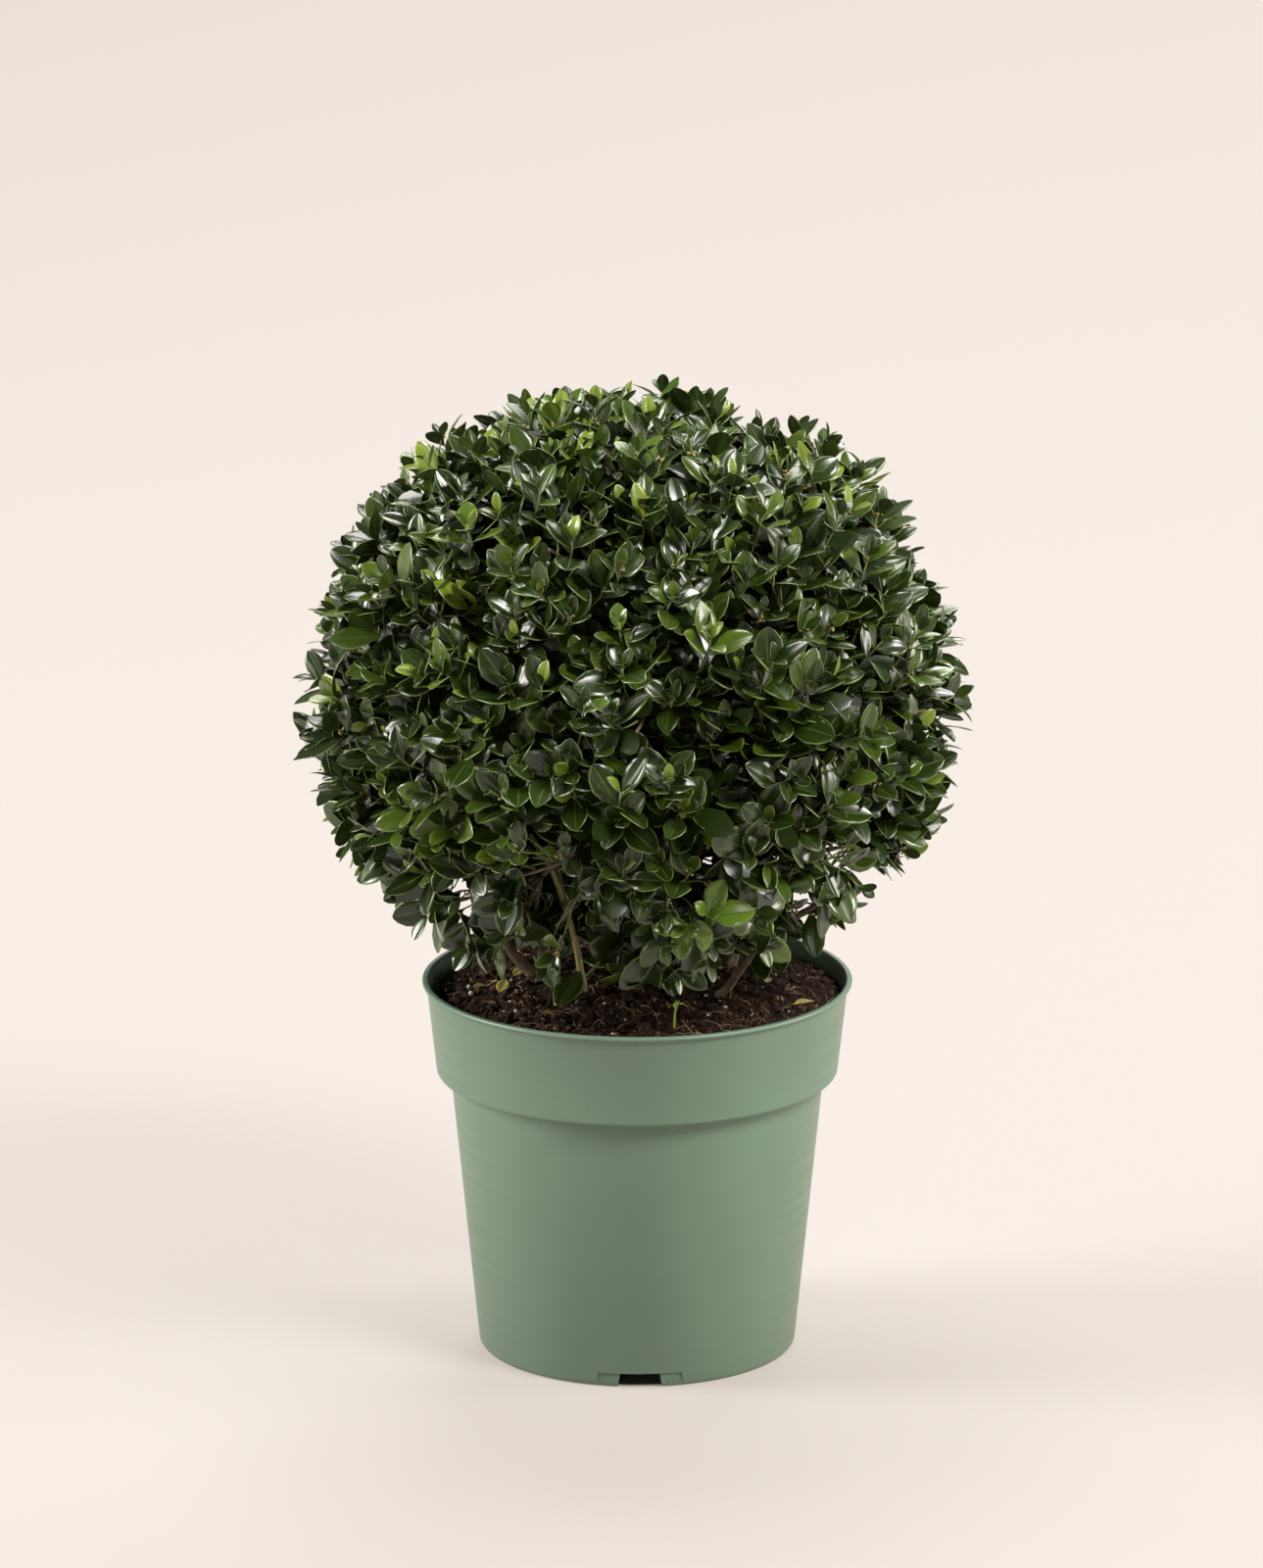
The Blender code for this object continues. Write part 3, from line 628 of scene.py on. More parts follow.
def leafArrays(leaves, kind):
    # every leaf is one grid of quads, bent along its rib, folded across it and twisted
    rows, columns = (np.array(values) for values in leafShape[kind])
    root, along, face = (np.array([[*leaf[i]] for leaf in leaves]) for i in range(3))
    length, width, droop, fold, twist = (np.array([leaf[i] for leaf in leaves])[:, None, None]
                                         for i in range(3, 8))
    side = np.cross(along, face)
    blade = np.clip((rows - 0.05) / 0.95, 0, 1)
    outline = np.sin(np.pi * blade ** leafShape["widest"]) ** (0.98 - 0.42 * blade)
    outline = np.maximum(outline, np.where(rows < 0.08, 0.08, 0.09))[None, :, None]
    half = width / 2 * outline
    across = half * columns[None, None, :]
    rows3 = rows[None, :, None]
    cup = half * (fold * np.abs(columns) ** 1.2 - 0.1 * (np.abs(columns) > 0.96))
    angle = twist * (rows3 - 0.3)
    lift = droop * length * rows3 ** 2 + cup * np.cos(angle) + across * np.sin(angle)
    flat = across * np.cos(angle) - cup * np.sin(angle)
    forward = length * rows3 * (1 - 0.35 * np.abs(droop) * rows3) * np.ones_like(across)
    points = (root[:, None, None] + along[:, None, None] * forward[..., None]
              + side[:, None, None] * flat[..., None] + face[:, None, None] * lift[..., None])
    quads = gridFaces(len(rows), len(columns))
    strips = len(columns) - 1
    strip, row = np.arange(len(quads)) % strips, np.arange(len(quads)) // strips
    slots = np.full(len(quads), 2)
    if kind == "fine":
        slots[(strip == 0) | (strip == strips - 1)] = 0
        slots[strip == strips // 2] = 1
    slots[row == 0] = 1
    green = np.array([leaf[8] for leaf in leaves])
    allSlots = np.where(slots[None] == 2, 2 + green[:, None], slots[None])
    faces = quads[None] + (np.arange(len(leaves)) * len(rows) * len(columns))[:, None, None]
    return points.reshape(-1, 3), faces.reshape(-1, 4), allSlots.ravel()


leafSkin = {
    "second": 1.5, "scale": 55, "fineScale": 1100, "fineShare": 0.22, "bump": (0.35, 0.0003),
    "underside": 0.7, "undersideTint": (0.016, 0.028, 0.005),
    "roughness": (0.42, 0.65),      # of the top and of the underside
    "specular": 0.12, "coat": 1.0, "coatRoughness": 0.23,
    "rim": ((0.08, 0.125, 0.02), (0.13, 0.175, 0.04), 0.38, 60, 900, 0.3, 0.1),
    "rib": ((0.026, 0.052, 0.005), (0.07, 0.1, 0.016), 0.42, 60, 900, 0.3, 0.1),
}


def leafMaterial(name, colour):
    underside = [leafSkin["underside"] * c + tint for c, tint in zip(colour, leafSkin["undersideTint"])]
    made, tree, shader = newMaterial(name)
    mottle = addMottle(tree, colour, [c * leafSkin["second"] for c in colour], leafSkin["scale"],
                       leafSkin["fineScale"], leafSkin["fineShare"])
    backfacing = addNode(tree, "ShaderNodeNewGeometry").outputs["Backfacing"]
    sides = mixColours(tree, backfacing, mottle.outputs["Colour"], (*underside, 1))
    tree.links.new(sides, shader.inputs["Base Color"])
    tree.links.new(remap(tree, backfacing, toRange=leafSkin["roughness"]), shader.inputs["Roughness"])
    tree.links.new(addBump(tree, mottle.outputs["Height"], *leafSkin["bump"]), shader.inputs["Normal"])
    shader.inputs["Specular IOR Level"].default_value = leafSkin["specular"]
    shader.inputs["Coat Weight"].default_value = leafSkin["coat"]
    shader.inputs["Coat Roughness"].default_value = leafSkin["coatRoughness"]
    return made


def buildLeaves():
    fine, plain = growLeaves()
    rim = mottledMaterial("leafRim", *leafSkin["rim"])
    rib = mottledMaterial("leafRib", *leafSkin["rib"])
    greens = [leafMaterial(name, leafGreens[name][0]) for name in greenNames]
    pieces = []
    for kind, title, leaves, sectors in (("fine", "leaves", fine, 7), ("plain", "shadeLeaves", plain, 3)):
        for number in range(sectors):
            own = [leaf for leaf in leaves
                   if int((math.atan2(leaf[0].y, leaf[0].x) / math.pi + 1) / 2 * sectors) % sectors == number]
            points, faces, slots = leafArrays(own, kind)
            pieces.append(addPiece(f"{title}{number + 1}", points, faces, rim, rib, *greens, slots=slots))
    print("leaves:", len(fine), "fine and", len(plain), "in the shade,",
          sum(len(p.data.polygons) * 2 for p in pieces), "triangles")
    return pieces


leafPieces = buildLeaves()
shoots = [shoot for shoot in shoots if shoot["leaves"] > 1]      # a shoot that had no room stays out

# wood inside the crown, and the green shoots

wood = {  # radius at the root and at the tip, and how far it sags
    "bough": (0.003, 0.0024, 0.01), "branch": (0.0023, 0.0016, 0.008), "twig": (0.0015, 0.001, 0.005),
    "shoot": (0.00085, 0.00055),
    "bark": ((0.105, 0.075, 0.045), (0.18, 0.15, 0.095), 0.8, 90, 700, 0.5, 0.5),
    "skin": ((0.19, 0.22, 0.06), (0.12, 0.16, 0.04), 0.5, 90, 900, 0.4, 0.2),
}


def buildWood():
    rule = random.Random(crown["seed"] + 9)
    brown = mottledMaterial("twigBark", *wood["bark"])
    green = mottledMaterial("shootSkin", *wood["skin"])
    lines, radii = [], []
    for items, kind in ((boughs, "bough"), (branches, "branch"), (twigs, "twig")):
        rootRadius, tipRadius, sag = wood[kind]
        for root, tip, _ in items:
            middle = (root + tip) / 2 - Vector((0, 0, sag)) + shaken(rule, 0.004)
            lines.append([[*p] for p in bezier(root, middle, tip, 9)])
            radii.append(np.linspace(rootRadius, tipRadius, 10))
    inner = addPiece("boughsAndTwigs", *tubesFromLines(np.array(lines), np.array(radii), 7), brown)
    lines = np.array([[[*p] for p in shoot["line"]] for shoot in shoots])
    radii = np.tile(np.linspace(*wood["shoot"], lines.shape[1]), (len(lines), 1))
    outer = addPiece("greenShoots", *tubesFromLines(lines, radii, 4), green)
    print("wood:", len(inner.data.polygons) + len(outer.data.polygons), "faces")
    return inner, outer


innerWood, greenShoots = buildWood()

# bud clusters in the leaf axils

buds = {
    "share": 0.18, "size": (0.0007, 0.0014), "perCluster": (3, 7), "reach": 0.0022, "long": (1.0, 0.75, 0.75),
    "skin": ((0.43, 0.36, 0.13), (0.3, 0.2, 0.07), 0.6, 200, 1500, 0.5, 0.2),
}


def lumpTemplate(subdivisions):
    ball = bmesh.new()
    bmesh.ops.create_icosphere(ball, subdivisions=subdivisions, radius=1.0)
    points = np.array([[*v.co] for v in ball.verts])
    faces = np.array([[v.index for v in f.verts] for f in ball.faces])
    ball.free()
    return points, faces


def addLumps(name, material, centres, sizes, stretch, subdivisions, seed, roughness):
    rng = np.random.default_rng(seed)
    base, faces = lumpTemplate(subdivisions)
    count = len(centres)
    turn = normalized(rng.normal(size=(count, 3)))
    other = normalized(np.cross(turn, rng.normal(size=(count, 3))))
    third = np.cross(turn, other)
    shape = base[None] * (1 + rng.uniform(-roughness, roughness, (count, len(base), 1)))
    shape = shape * stretch[:, None, :] * sizes[:, None, None]
    points = (centres[:, None] + shape[..., :1] * turn[:, None] + shape[..., 1:2] * other[:, None]
              + shape[..., 2:] * third[:, None])
    allFaces = faces[None] + (np.arange(count) * len(base))[:, None, None]
    return addPiece(name, points.reshape(-1, 3), allFaces.reshape(-1, 3), material)


def buildBuds():
    rule = random.Random(crown["seed"] + 12)
    centres, sizes = [], []
    for line in (shoot["line"] for shoot in shoots if not shoot["shade"]):
        for place in (-1, -2):
            if rule.random() < buds["share"]:
                for _ in range(rule.randint(*buds["perCluster"])):
                    centres.append([*(line[place] + shaken(rule, 1) * buds["reach"])])
                    sizes.append(rule.uniform(*buds["size"]))
    centres, sizes = np.array(centres), np.array(sizes)
    stretch = np.ones((len(sizes), 3)) * buds["long"]
    skin = mottledMaterial("budSkin", *buds["skin"])
    print("buds:", len(sizes))
    return addLumps("axilBuds", skin, centres, sizes, stretch, 1, 3, 0.15)


axilBuds = buildBuds()

# stems, with bark

bark = {
    "around": 22, "along": 70, "furrows": 0.1, "knots": 0.16, "flareLobes": 0.12,
    "sunk": 0.004,      # how far a stem goes on down into the soil
    "old": ((0.095, 0.058, 0.034), (0.21, 0.15, 0.095), 0.85, 120, 620, 0.45, 0.8, 0.0008),
    "young": ((0.5, 0.44, 0.19), (0.32, 0.28, 0.11), 0.6, 100, 700, 0.4, 0.3),
}
leader = {  # the young stem goes on up into the ball
    "stem_front": [(-0.0517, -0.036, 0.3215), (-0.059, -0.044, 0.34), (-0.0695, -0.052, 0.358)],
}


def buildStem(name, points, rootRadius, tipRadius, flare, skin):
    line = smoothLine(points, bark["along"])
    if flare:
        line.insert(0, line[0] - Vector((0, 0, bark["sunk"])))
    builder = bmesh.new()
    rings = []
    for k, point in enumerate(line):
        share = max(0, k - 1) / bark["along"]
        before, after = line[max(k - 1, 0)], line[min(k + 1, len(line) - 1)]
        along = (after - before).normalized()
        side = along.cross(Vector((0.31, 0.95, 0.05))).normalized()
        other = along.cross(side)
        radius = rootRadius + (tipRadius - rootRadius) * share + flare * max(0.0, 1 - share * 5) ** 2
        ring = []
        for i in range(bark["around"]):
            angle = 2 * math.pi * i / bark["around"]
            out = side * math.cos(angle) + other * math.sin(angle)
            streak = noise.noise(Vector((out.x * 3.2, out.y * 3.2, share * 9 + len(name))))
            swelling = noise.noise(Vector((out.x * 1.2 + 7, out.y * 1.2, share * 14 + len(name) * 3)))
            knot = max(0.0, swelling - 0.25)
            relief = 1 + bark["furrows"] * streak + bark["knots"] * knot * 2
            if flare:
                relief += bark["flareLobes"] * math.sin(angle * 4 + len(name)) * max(0.0, 1 - share * 6)
            ring.append(builder.verts.new(point + out * radius * relief))
        rings.append(ring)
    for lower, upper in zip(rings, rings[1:]):
        for i in range(bark["around"]):
            j = (i + 1) % bark["around"]
            builder.faces.new((lower[i], lower[j], upper[j], upper[i]))
    builder.faces.new(list(reversed(rings[0])))
    builder.faces.new(rings[-1])
    return addObject(name + "Bark", meshFromBuilder(name + "Bark", builder), skin)


def buildStems():
    old = mottledMaterial("stemBark", *bark["old"])
    young = mottledMaterial("youngStem", *bark["young"])
    for name, (points, rootRadius, tipRadius, flare) in limbs.items():
        piece = buildStem(name, points + leader.get(name, []), rootRadius, tipRadius, flare,
                          young if name in leader else old)
        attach(piece, "root")
        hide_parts(name)
    print("stems:", len(limbs))


buildStems()

# soil

soil = {
    "rings": 95, "around": 250, "edge": 0.1336, "crumbs": 6200, "perlite": 55, "fibres": 190, "chips": 420,
    # lumps of the ground: height, scale of the noise and where it starts
    "lumps": [(soilLevel["roughness"], 40, (0, 0, 0)), (0.0034, 85, (3, 1, 0)), (0.0022, 210, (0, 5, 0)),
              (0.001, 560, (0, 0, 0))],
    "specular": 0.2,
    "peat": ((0.003, 0.0017, 0.0011), (0.03, 0.015, 0.008), 0.95, 150, 1100, 0.5, 1.0, 0.0014),
    "peatCrumb": ((0.004, 0.0022, 0.0014), (0.066, 0.032, 0.016), 0.95, 330, 1900, 0.4, 0.8, 0.0006),
    "perliteGrain": ((0.64, 0.61, 0.54), (0.43, 0.4, 0.33), 0.9, 400, 2500, 0.6, 0.5),
    "rootFibre": ((0.33, 0.23, 0.13), (0.18, 0.11, 0.06), 0.8, 200, 1500, 0.4, 0.3),
    "barkChip": ((0.11, 0.062, 0.036), (0.23, 0.14, 0.08), 0.85, 220, 1400, 0.4, 0.6),
}


def soilHeight(x, y):
    radius = math.hypot(x, y)
    place = Vector((x, y, 0.0))
    height = soilLevel["height"] + soilLevel["mound"] * (1 - (radius / potRim["outer"]) ** 2)
    for amount, scale, shift in soil["lumps"]:
        height += amount * noise.noise(place * scale + Vector(shift))
    return height - 0.0025 * max(0.0, (radius - 0.124) / 0.01)


def onSoil(rng, count, low, high):
    radius = np.sqrt(rng.uniform((low / 0.13) ** 2, (high / 0.13) ** 2, count)) * 0.13
    angle = rng.uniform(0, 2 * np.pi, count)
    x, y = radius * np.cos(angle), radius * np.sin(angle)
    return np.array([[a, b, soilHeight(a, b)] for a, b in zip(x, y)])


def buildSoil():
    points = [(0.0, 0.0, soilHeight(0, 0))]
    around = soil["around"]
    for r in range(1, soil["rings"] + 1):
        radius = soil["edge"] * (r / soil["rings"]) ** 0.8
        for i in range(around):
            angle = 2 * math.pi * (i + 0.5 * (r % 2)) / around
            x, y = radius * math.cos(angle), radius * math.sin(angle)
            points.append((x, y, soilHeight(x, y)))
    low = [(0.9 * x, 0.9 * y, soilLevel["height"] - 0.03) for x, y, _ in points[-around:]]
    first = len(points) - around
    faces = [(0, 1 + i, 1 + (i + 1) % around) for i in range(around)]
    for r in range(soil["rings"] - 1):
        a, b = 1 + r * around, 1 + (r + 1) * around
        faces += [(a + i, b + i, b + (i + 1) % around, a + (i + 1) % around) for i in range(around)]
    points += low
    faces += [(first + i, first + around + i, first + around + (i + 1) % around, first + (i + 1) % around)
              for i in range(around)]
    faces.append(tuple(first + around + i for i in reversed(range(around))))
    peat = mottledMaterial("peat", *soil["peat"])
    crumb = mottledMaterial("peatCrumb", *soil["peatCrumb"])
    for item in (peat, crumb):
        shader = item.node_tree.nodes["Principled BSDF"]
        shader.inputs["Specular IOR Level"].default_value = soil["specular"]
    ground = addPiece("peatSurface", points, faces, peat)
    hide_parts("soil")
    rng = np.random.default_rng(21)
    centres = onSoil(rng, soil["crumbs"], 0.0, 0.131)
    sizes = np.minimum(rng.gamma(1.3, 0.0006, soil["crumbs"]) + 0.0004, 0.004)
    stretch = rng.uniform(0.6, 1.3, (soil["crumbs"], 3))
    crumbs = addLumps("peatCrumbs", crumb, centres, sizes, stretch, 1, 5, 0.3)
    centres = onSoil(rng, soil["perlite"], 0.03, 0.131) + [0, 0, 0.0004]
    sizes = rng.uniform(0.0006, 0.0018, soil["perlite"])
    white = mottledMaterial("perlite", *soil["perliteGrain"])
    grains = addLumps("perliteGrains", white, centres, sizes, rng.uniform(0.7, 1.2, (soil["perlite"], 3)), 2, 6,
                      0.12)
    straw = mottledMaterial("rootFibre", *soil["rootFibre"])
    starts = onSoil(rng, soil["fibres"], 0.0, 0.129)
    lines = []
    for x, y, z in starts:
        angle, bend = rng.uniform(0, 2 * math.pi), rng.uniform(-1.3, 1.3)
        length = rng.gamma(2.0, 0.0045) + 0.003
        line, p = [], Vector((x, y, z + 0.0006))
        for k in range(7):
            q = Vector((p.x, p.y, 0))
            if q.length > 0.131:
                q = q.normalized() * 0.131
            line.append([q.x, q.y, soilHeight(q.x, q.y) + 0.0007 + 0.0022 * math.sin(math.pi * k / 6)])
            p = p + Vector((math.cos(angle), math.sin(angle), 0)) * length / 6
            angle += bend / 6
        lines.append(line)
    radii = np.repeat(rng.uniform(0.00012, 0.0003, (len(lines), 1)), 7, axis=1)
    fibres = addPiece("rootFibres", *tubesFromLines(np.array(lines), radii, 5), straw)
    centres = onSoil(rng, soil["chips"], 0.0, 0.13) + [0, 0, 0.0005]
    stretch = np.stack([rng.uniform(1.2, 2.6, soil["chips"]), rng.uniform(0.5, 0.9, soil["chips"]),
                        rng.uniform(0.15, 0.3, soil["chips"])], axis=1)
    chip = mottledMaterial("barkChip", *soil["barkChip"])
    chips = addLumps("barkChips", chip, centres, rng.uniform(0.0007, 0.0019, soil["chips"]), stretch, 1, 8, 0.2)
    for piece in (ground, crumbs, grains, fibres, chips):
        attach(piece, "root")
    print("soil:", soil["crumbs"], "crumbs,", soil["fibres"], "fibres")


buildSoil()

# what has fallen on the soil, and a seedling

litter = {
    "fallen": [(-0.098, 0.02), (-0.082, 0.03), (-0.108, 0.004), (-0.09, -0.012), (0.06, -0.072),
               (0.086, 0.022), (0.005, -0.06), (-0.052, -0.07), (0.1, -0.04), (-0.02, 0.095),
               (0.04, 0.1)],
    "seedling": (0.024, -0.088), "seedlingHeight": 0.019,
    # angle, length and rise of the seedling's leaves
    "seedLeaves": [(0.3, 0.009, 0.1), (2.6, 0.008, 0.0), (4.4, 0.007, 0.5), (1.6, 0.006, 0.8)],
    "yellow": ((0.33, 0.29, 0.06), (0.2, 0.15, 0.04), 0.6, 120, 1200, 0.4, 0.3),
    "fresh": ((0.3, 0.38, 0.06), (0.4, 0.42, 0.11), 0.5, 120, 1200, 0.3, 0.2),
}


def buildLitter():
    rule = random.Random(31)
    yellow = mottledMaterial("fallenLeaf", *litter["yellow"])
    fresh = mottledMaterial("seedlingLeaf", *litter["fresh"])
    lying = []
    for x, y in litter["fallen"]:
        angle = rule.uniform(0, 2 * math.pi)
        along = Vector((math.cos(angle), math.sin(angle), rule.uniform(-0.05, 0.25))).normalized()
        face = squareTo(Vector((rule.uniform(-0.3, 0.3), rule.uniform(-0.3, 0.3), 1)).normalized(), along)
        length = rule.uniform(0.011, 0.019)
        lying.append((Vector((x, y, soilHeight(x, y) + 0.0022)), along, face, length, length * 0.5,
                      rule.uniform(-0.2, 0.3), rule.uniform(0.2, 0.5), rule.uniform(-0.5, 0.5), 0))
    points, faces, _ = leafArrays(lying, "fine")
    fallen = addPiece("fallenLeaves", points, faces, yellow)
    x, y = litter["seedling"]
    foot = Vector((x, y, soilHeight(x, y) - 0.002))
    top = foot + Vector((0.0018, 0.001, litter["seedlingHeight"]))
    stalk = bezier(foot, foot + Vector((-0.001, 0, 0.012)), top, 8)
    points, faces = tubesFromLines(np.array([[[*p] for p in stalk]]), np.full((1, 9), 0.0006), 7)
    curled = []
    for angle, length, rise in litter["seedLeaves"]:
        along = Vector((math.cos(angle), math.sin(angle), rise)).normalized()
        face = squareTo(Vector((0, 0, 1)), along)
        curled.append((top - Vector((0, 0, 0.001)), along, face, length, length * 0.55, -0.5, 0.5, 0.4, 0))
    leafPoints, leafFaces, _ = leafArrays(curled, "fine")
    allPoints = np.vstack([points, leafPoints])
    allFaces = list(faces) + [tuple(f) for f in (leafFaces + len(points)).tolist()]
    seedling = addPiece("seedling", allPoints, allFaces, fresh)
    for piece in (fallen, seedling):
        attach(piece, "root")
    print("litter:", len(lying), "fallen leaves")


buildLitter()

# pot

pot = {
    "around": 200, "lipWidth": 0.003, "lipHeight": 0.0034, "collarTop": 0.1372,
    "collarFoot": (0.1309, 0.1875), "bodyTop": (0.1216, 0.1832), "bodyFoot": (0.1037, 0.0045),
    "footSlope": 0.0008, "contact": 0.0993, "contactInner": 0.0955, "footRound": 0.0043, "wall": 0.002,
    "floor": 0.013, "floorThickness": 0.0025,
    "notches": 3, "firstNotch": math.radians(-89), "notchHeight": 0.01, "notchWidth": 0.03,
    "padWidth": 0.057, "padRadius": 0.103, "lean": 0.0025, "drains": 5, "drain": (0.006, 0.07),
}


def arcPoints(centre, radius, start, end, steps):
    angles = [math.radians(start + (end - start) * k / steps) for k in range(steps + 1)]
    return [(centre[0] + radius * math.cos(a), centre[1] + radius * math.sin(a)) for a in angles]


def shoulderPoints(inset, steps):
    low = Vector((pot["bodyTop"][0] - inset, pot["bodyTop"][1] + inset))
    high = Vector((pot["collarFoot"][0] - inset, pot["collarFoot"][1] + inset))
    corner = Vector((high.x, low.y + pot["footSlope"]))
    return [tuple(p) for p in bezier(low, corner, high, steps)]


def potProfile():
    lipCentre = (potRim["outer"] - pot["lipWidth"] / 2, potRim["top"] - pot["lipHeight"] / 2)
    foot, contact, wall = pot["bodyFoot"], pot["contact"], pot["wall"]
    underside = pot["floor"] - pot["floorThickness"]
    outside = [
        (0.0, underside), (pot["contactInner"], underside),
        (pot["contactInner"], 0.0003), (pot["contactInner"] + 0.0003, 0.0), (contact, 0.0),
        *arcPoints((contact, pot["footRound"]), pot["footRound"], -70, -8, 5), foot,
        *shoulderPoints(0.0, 14),
        (pot["collarTop"] - 0.0001, potRim["top"] - pot["lipHeight"] - 0.0012),
        (pot["collarTop"] + 0.0003, potRim["top"] - pot["lipHeight"] - 0.0003),
        *arcPoints(lipCentre, pot["lipWidth"] / 2, -68, 90, 9),
    ]
    top = potRim["top"] - (pot["lipHeight"] - pot["lipWidth"]) / 2
    inside = [(potRim["outer"] - pot["lipWidth"] - 0.0003, top - 0.0001),
              (potRim["outer"] - pot["lipWidth"] - 0.001, top - 0.0009),
              (pot["collarTop"] - wall, potRim["top"] - pot["lipHeight"]),
              *reversed(shoulderPoints(wall, 8)),
              (foot[0] - wall + 0.0008, pot["floor"] + 0.004), (foot[0] - wall - 0.003, pot["floor"]),
              (0.0, pot["floor"])]
    return outside + inside


def turned(profile, around):
    builder = bmesh.new()
    rings = []
    for radius, height in profile:
        count = 1 if radius < 1e-6 else around
        rings.append([builder.verts.new((radius * math.cos(2 * math.pi * i / around),
                                         radius * math.sin(2 * math.pi * i / around), height))
                      for i in range(count)])
    for lower, upper in zip(rings, rings[1:]):
        m, n = len(lower), len(upper)
        for i in range(around):
            j = (i + 1) % around
            corners = [lower[i % m], lower[j % m], upper[j % n], upper[i % n]]
            builder.faces.new(list(dict.fromkeys(corners)))
    return builder


def sectorBlock(inner, outer, low, high, halfWidth, facing):
    # a block that follows the wall's round, and narrows upwards
    builder = bmesh.new()
    steps, columns = 12, []
    for level, shrink in ((low, 0.0), (high, pot["lean"])):
        for radius in (inner, outer):
            angles = [facing + (halfWidth - shrink) * (2 * k / steps - 1) / pot["contact"]
                      for k in range(steps + 1)]
            columns.append([builder.verts.new((radius * math.cos(a), radius * math.sin(a), level))
                            for a in angles])
    lowIn, lowOut, highIn, highOut = columns
    for k in range(steps):
        for a, b in ((lowIn, lowOut), (lowOut, highOut), (highOut, highIn), (highIn, lowIn)):
            builder.faces.new((a[k], a[k + 1], b[k + 1], b[k]))
    for k in (0, steps):
        builder.faces.new((lowIn[k], lowOut[k], highOut[k], highIn[k]))
    return builder


def buildPot():
    body = addObject("nurseryPot", meshFromBuilder("nurseryPot", turned(potProfile(), pot["around"])))
    cutters = {}
    for label in ("padCuts", "footCuts"):
        cutters[label] = bpy.data.collections.new(label)
        bpy.context.scene.collection.children.link(cutters[label])

    def addCutter(label, builder):
        made = bpy.data.objects.new(label, meshFromBuilder(label, builder, smooth=False))
        cutters[label].objects.link(made)

    for k in range(pot["notches"]):
        facing = pot["firstNotch"] + 2 * math.pi * k / pot["notches"]
        height = pot["notchHeight"]
        addCutter("padCuts", sectorBlock(pot["padRadius"], 0.116, -0.002, height, pot["padWidth"] / 2, facing))
        addCutter("footCuts", sectorBlock(0.082, 0.118, -0.003, height - 0.0002, pot["notchWidth"] / 2, facing))
    for k in range(pot["drains"] + 1):
        ring = pot["drain"][1] if k else 0.0
        angle = pot["firstNotch"] + 2 * math.pi * k / pot["drains"]
        drain = bmesh.new()
        place = Matrix.Translation((ring * math.cos(angle), ring * math.sin(angle), pot["floor"]))
        bmesh.ops.create_cone(drain, cap_ends=True, segments=32, radius1=pot["drain"][0],
                              radius2=pot["drain"][0], depth=0.03, matrix=place)
        addCutter("footCuts", drain)
    for label, group in cutters.items():
        cut = body.modifiers.new(label, "BOOLEAN")
        cut.operation, cut.solver = "DIFFERENCE", "EXACT"
        cut.operand_type, cut.collection = "COLLECTION", group
    applyModifiers(body)
    for group in cutters.values():
        for helper in list(group.objects):
            bpy.data.objects.remove(helper, do_unlink=True)
        bpy.data.collections.remove(group)
    body.data.set_sharp_from_angle(angle=math.radians(32))
    body.data.materials.append(buildPotMaterial())
    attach(body, "root")
    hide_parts("pot")
    print("pot:", len(body.data.polygons), "faces")


plastic = {
    "colour": (0.108, 0.166, 0.115), "second": (0.12, 0.18, 0.125), "scale": 9, "fineScale": 1500,
    "fineShare": 0.25, "bump": (0.1, 0.0002),
    "dragScale": (4.0, 4.0, 260.0), "dragBump": (0.05, 0.0004), "roughness": (0.36, 0.46),
    # the next three set the painted shade that darkens the wall towards the foot
    "paintedShadeColour": (0.03, 0.046, 0.028), "paintedShadeTop": 0.175, "paintedShadeShare": 0.3,
    "dirtColour": (0.105, 0.14, 0.09), "dirtScale": 420.0, "dirtShare": 0.35,
}


def buildPotMaterial():
    made, tree, shader = newMaterial("sagePlastic")
    mottle = addMottle(tree, plastic["colour"], plastic["second"], plastic["scale"], plastic["fineScale"],
                       plastic["fineShare"])
    place = addNode(tree, "ShaderNodeTexCoord").outputs["Object"]
    # long faint drag marks of the mould, round the wall
    stretched = addNode(tree, "ShaderNodeMapping", {"Vector": place, "Scale": plastic["dragScale"]})
    rings = addNode(tree, "ShaderNodeTexNoise", {"Vector": stretched.outputs["Vector"], "Scale": 1.0,
                                                 "Detail": 4.0}).outputs["Fac"]
    # painted shade: the wall darkens towards the foot
    height = addNode(tree, "ShaderNodeSeparateXYZ", {"Vector": place}).outputs["Z"]
    paintedShade = remap(tree, height, (0.0, plastic["paintedShadeTop"]), (plastic["paintedShadeShare"], 0.0))
    paintedShadeBase = mixColours(tree, paintedShade, mottle.outputs["Colour"], (*plastic["paintedShadeColour"], 1))
    # fine specks of soil all over
    specks = addNode(tree, "ShaderNodeTexNoise", {"Vector": place, "Scale": plastic["dirtScale"],
                                                  "Detail": 3.0}).outputs["Fac"]
    dirt = remap(tree, specks, (0.63, 0.72), (0.0, plastic["dirtShare"]))
    dirty = mixColours(tree, dirt, paintedShadeBase, (*plastic["dirtColour"], 1))
    tree.links.new(dirty, shader.inputs["Base Color"])
    tree.links.new(remap(tree, rings, (0.3, 0.7), plastic["roughness"]), shader.inputs["Roughness"])
    fine = addBump(tree, mottle.outputs["Height"], *plastic["bump"])
    tree.links.new(addBump(tree, rings, *plastic["dragBump"], Normal=fine), shader.inputs["Normal"])
    return made


buildPot()

# the crown's pieces ride on the plant's one body

for piece in (*leafPieces, innerWood, greenShoots, axilBuds):
    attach(piece, "root")
    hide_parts("crown")

# studio: floor, light and camera

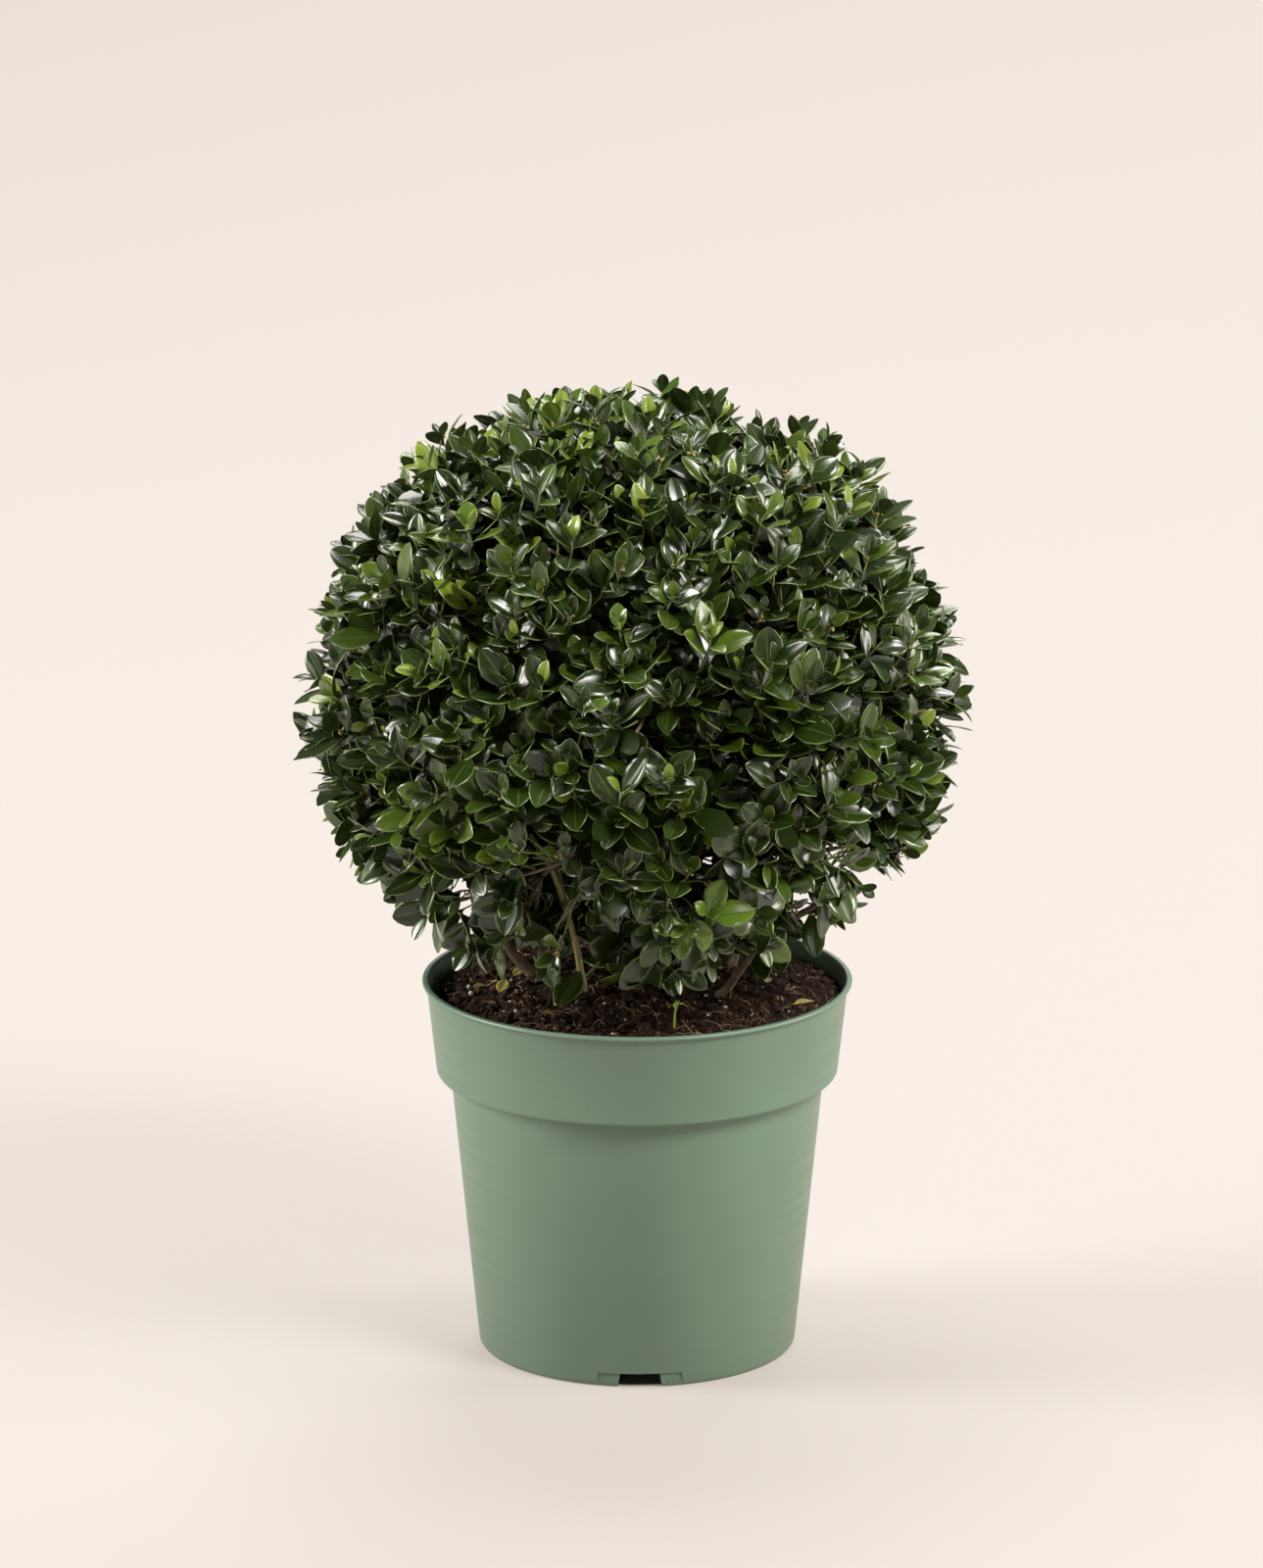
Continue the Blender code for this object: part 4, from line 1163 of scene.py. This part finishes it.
studio = {
    "floorSize": 40.0, "floorColour": (0.15, 0.145, 0.142), "floorGlow": (0.455, 0.395, 0.345),
    "footShade": (0.094, 0.102),
    "skyColour": (0.91, 0.85, 0.78), "skyStrength": 0.035,
    "lens": 220.4, "sensor": 36, "camera": (-0.0037, -6.0, 1.998), "cameraTilt": 74.884,
}
lamps = [  # name, place, what it points at, size, power, colour
    ("softboxRight", (4.2, -3.8, 5.9), (0, 0.3, 0.3), (2.7, 2.7), 800, (1.0, 0.98, 0.95)),
    ("softboxLeft", (-4.8, -0.2, 2.5), (0, 1.2, 0.4), (2.0, 2.8), 475, (1.0, 0.98, 0.95)),
    ("frontFill", (-0.8, -6.6, 1.1), (0, 0, 0.3), (2.0, 1.6), 60, (1.0, 0.98, 0.95)),
    ("stripRight", (4.6, 0.3, 1.4), (0, 0.9, 0.3), (1.6, 2.6), 190, (1.0, 0.95, 0.89)),
    ("softboxTop", (-0.4, 2.2, 6.0), (0, 1.2, 0.4), (3.0, 3.0), 330, (1.0, 0.98, 0.95)),
    ("floorWash", (1.6, 6.0, 4.4), (1.6, 5.4, 0), (4.0, 2.0), 320, (1.0, 0.98, 0.97)),
]


def addArea(name, place, aim, size, power, colour):
    data = bpy.data.lights.new(name, "AREA")
    data.shape, data.size, data.size_y = "RECTANGLE", *size
    data.energy, data.color = power, colour
    made = addObject(name, data)
    made.location = place
    made.rotation_euler = (Vector(aim) - Vector(place)).to_track_quat("-Z", "Y").to_euler()


def buildFloor():
    half = studio["floorSize"] / 2
    corners = [(-half, -half, 0), (half, -half, 0), (half, half, 0), (-half, half, 0)]
    mesh = meshFromArrays("studioFloor", corners, [(0, 1, 2, 3)])
    paper, tree, shader = newMaterial("palePaper")
    shader.inputs["Base Color"].default_value = (*studio["floorColour"], 1)
    shader.inputs["Roughness"].default_value = 0.8
    # one even glow, taken away under the pot's foot as a painted shadow, with a thin painted contact shadow
    # round it
    place = addNode(tree, "ShaderNodeTexCoord").outputs["Object"]
    away = addNode(tree, "ShaderNodeVectorMath", {0: place}, operation="LENGTH")
    # painted shadow: the glow fades to nothing under the pot
    share = remap(tree, away.outputs["Value"], studio["footShade"], interpolation_type="SMOOTHSTEP")
    glow = addNode(tree, "ShaderNodeVectorMath", {0: studio["floorGlow"], "Scale": share}, operation="SCALE")
    tree.links.new(glow.outputs["Vector"], shader.inputs["Emission Color"])
    shader.inputs["Emission Strength"].default_value = 1.0
    paper.cycles.emission_sampling = "NONE"
    addObject("studioFloor", mesh, paper)


def buildWorld():
    # pale to look at, nearly dark as a light, so that the leaves keep their deep shade
    world = bpy.data.worlds.new("studioLight")
    bpy.context.scene.world = world
    world.use_nodes = True
    tree = world.node_tree
    sky = tree.nodes["Background"]
    sky.inputs["Color"].default_value = (*studio["skyColour"], 1)
    looked = addNode(tree, "ShaderNodeLightPath").outputs["Is Camera Ray"]
    strength = remap(tree, looked, toRange=(studio["skyStrength"], 1.0))
    tree.links.new(strength, sky.inputs["Strength"])


def buildStudio():
    buildFloor()
    buildWorld()
    for lamp in lamps:
        addArea(*lamp)
    camera = bpy.data.cameras.new("camera")
    camera.lens, camera.sensor_width = studio["lens"], studio["sensor"]
    camera.clip_end = 100
    cameraObject = addObject("camera", camera)
    cameraObject.location = studio["camera"]
    cameraObject.rotation_euler = (math.radians(studio["cameraTilt"]), 0, 0)
    bpy.context.scene.camera = cameraObject
    bpy.context.scene.view_settings.view_transform = "Standard"
    print("studio ready")


buildStudio()
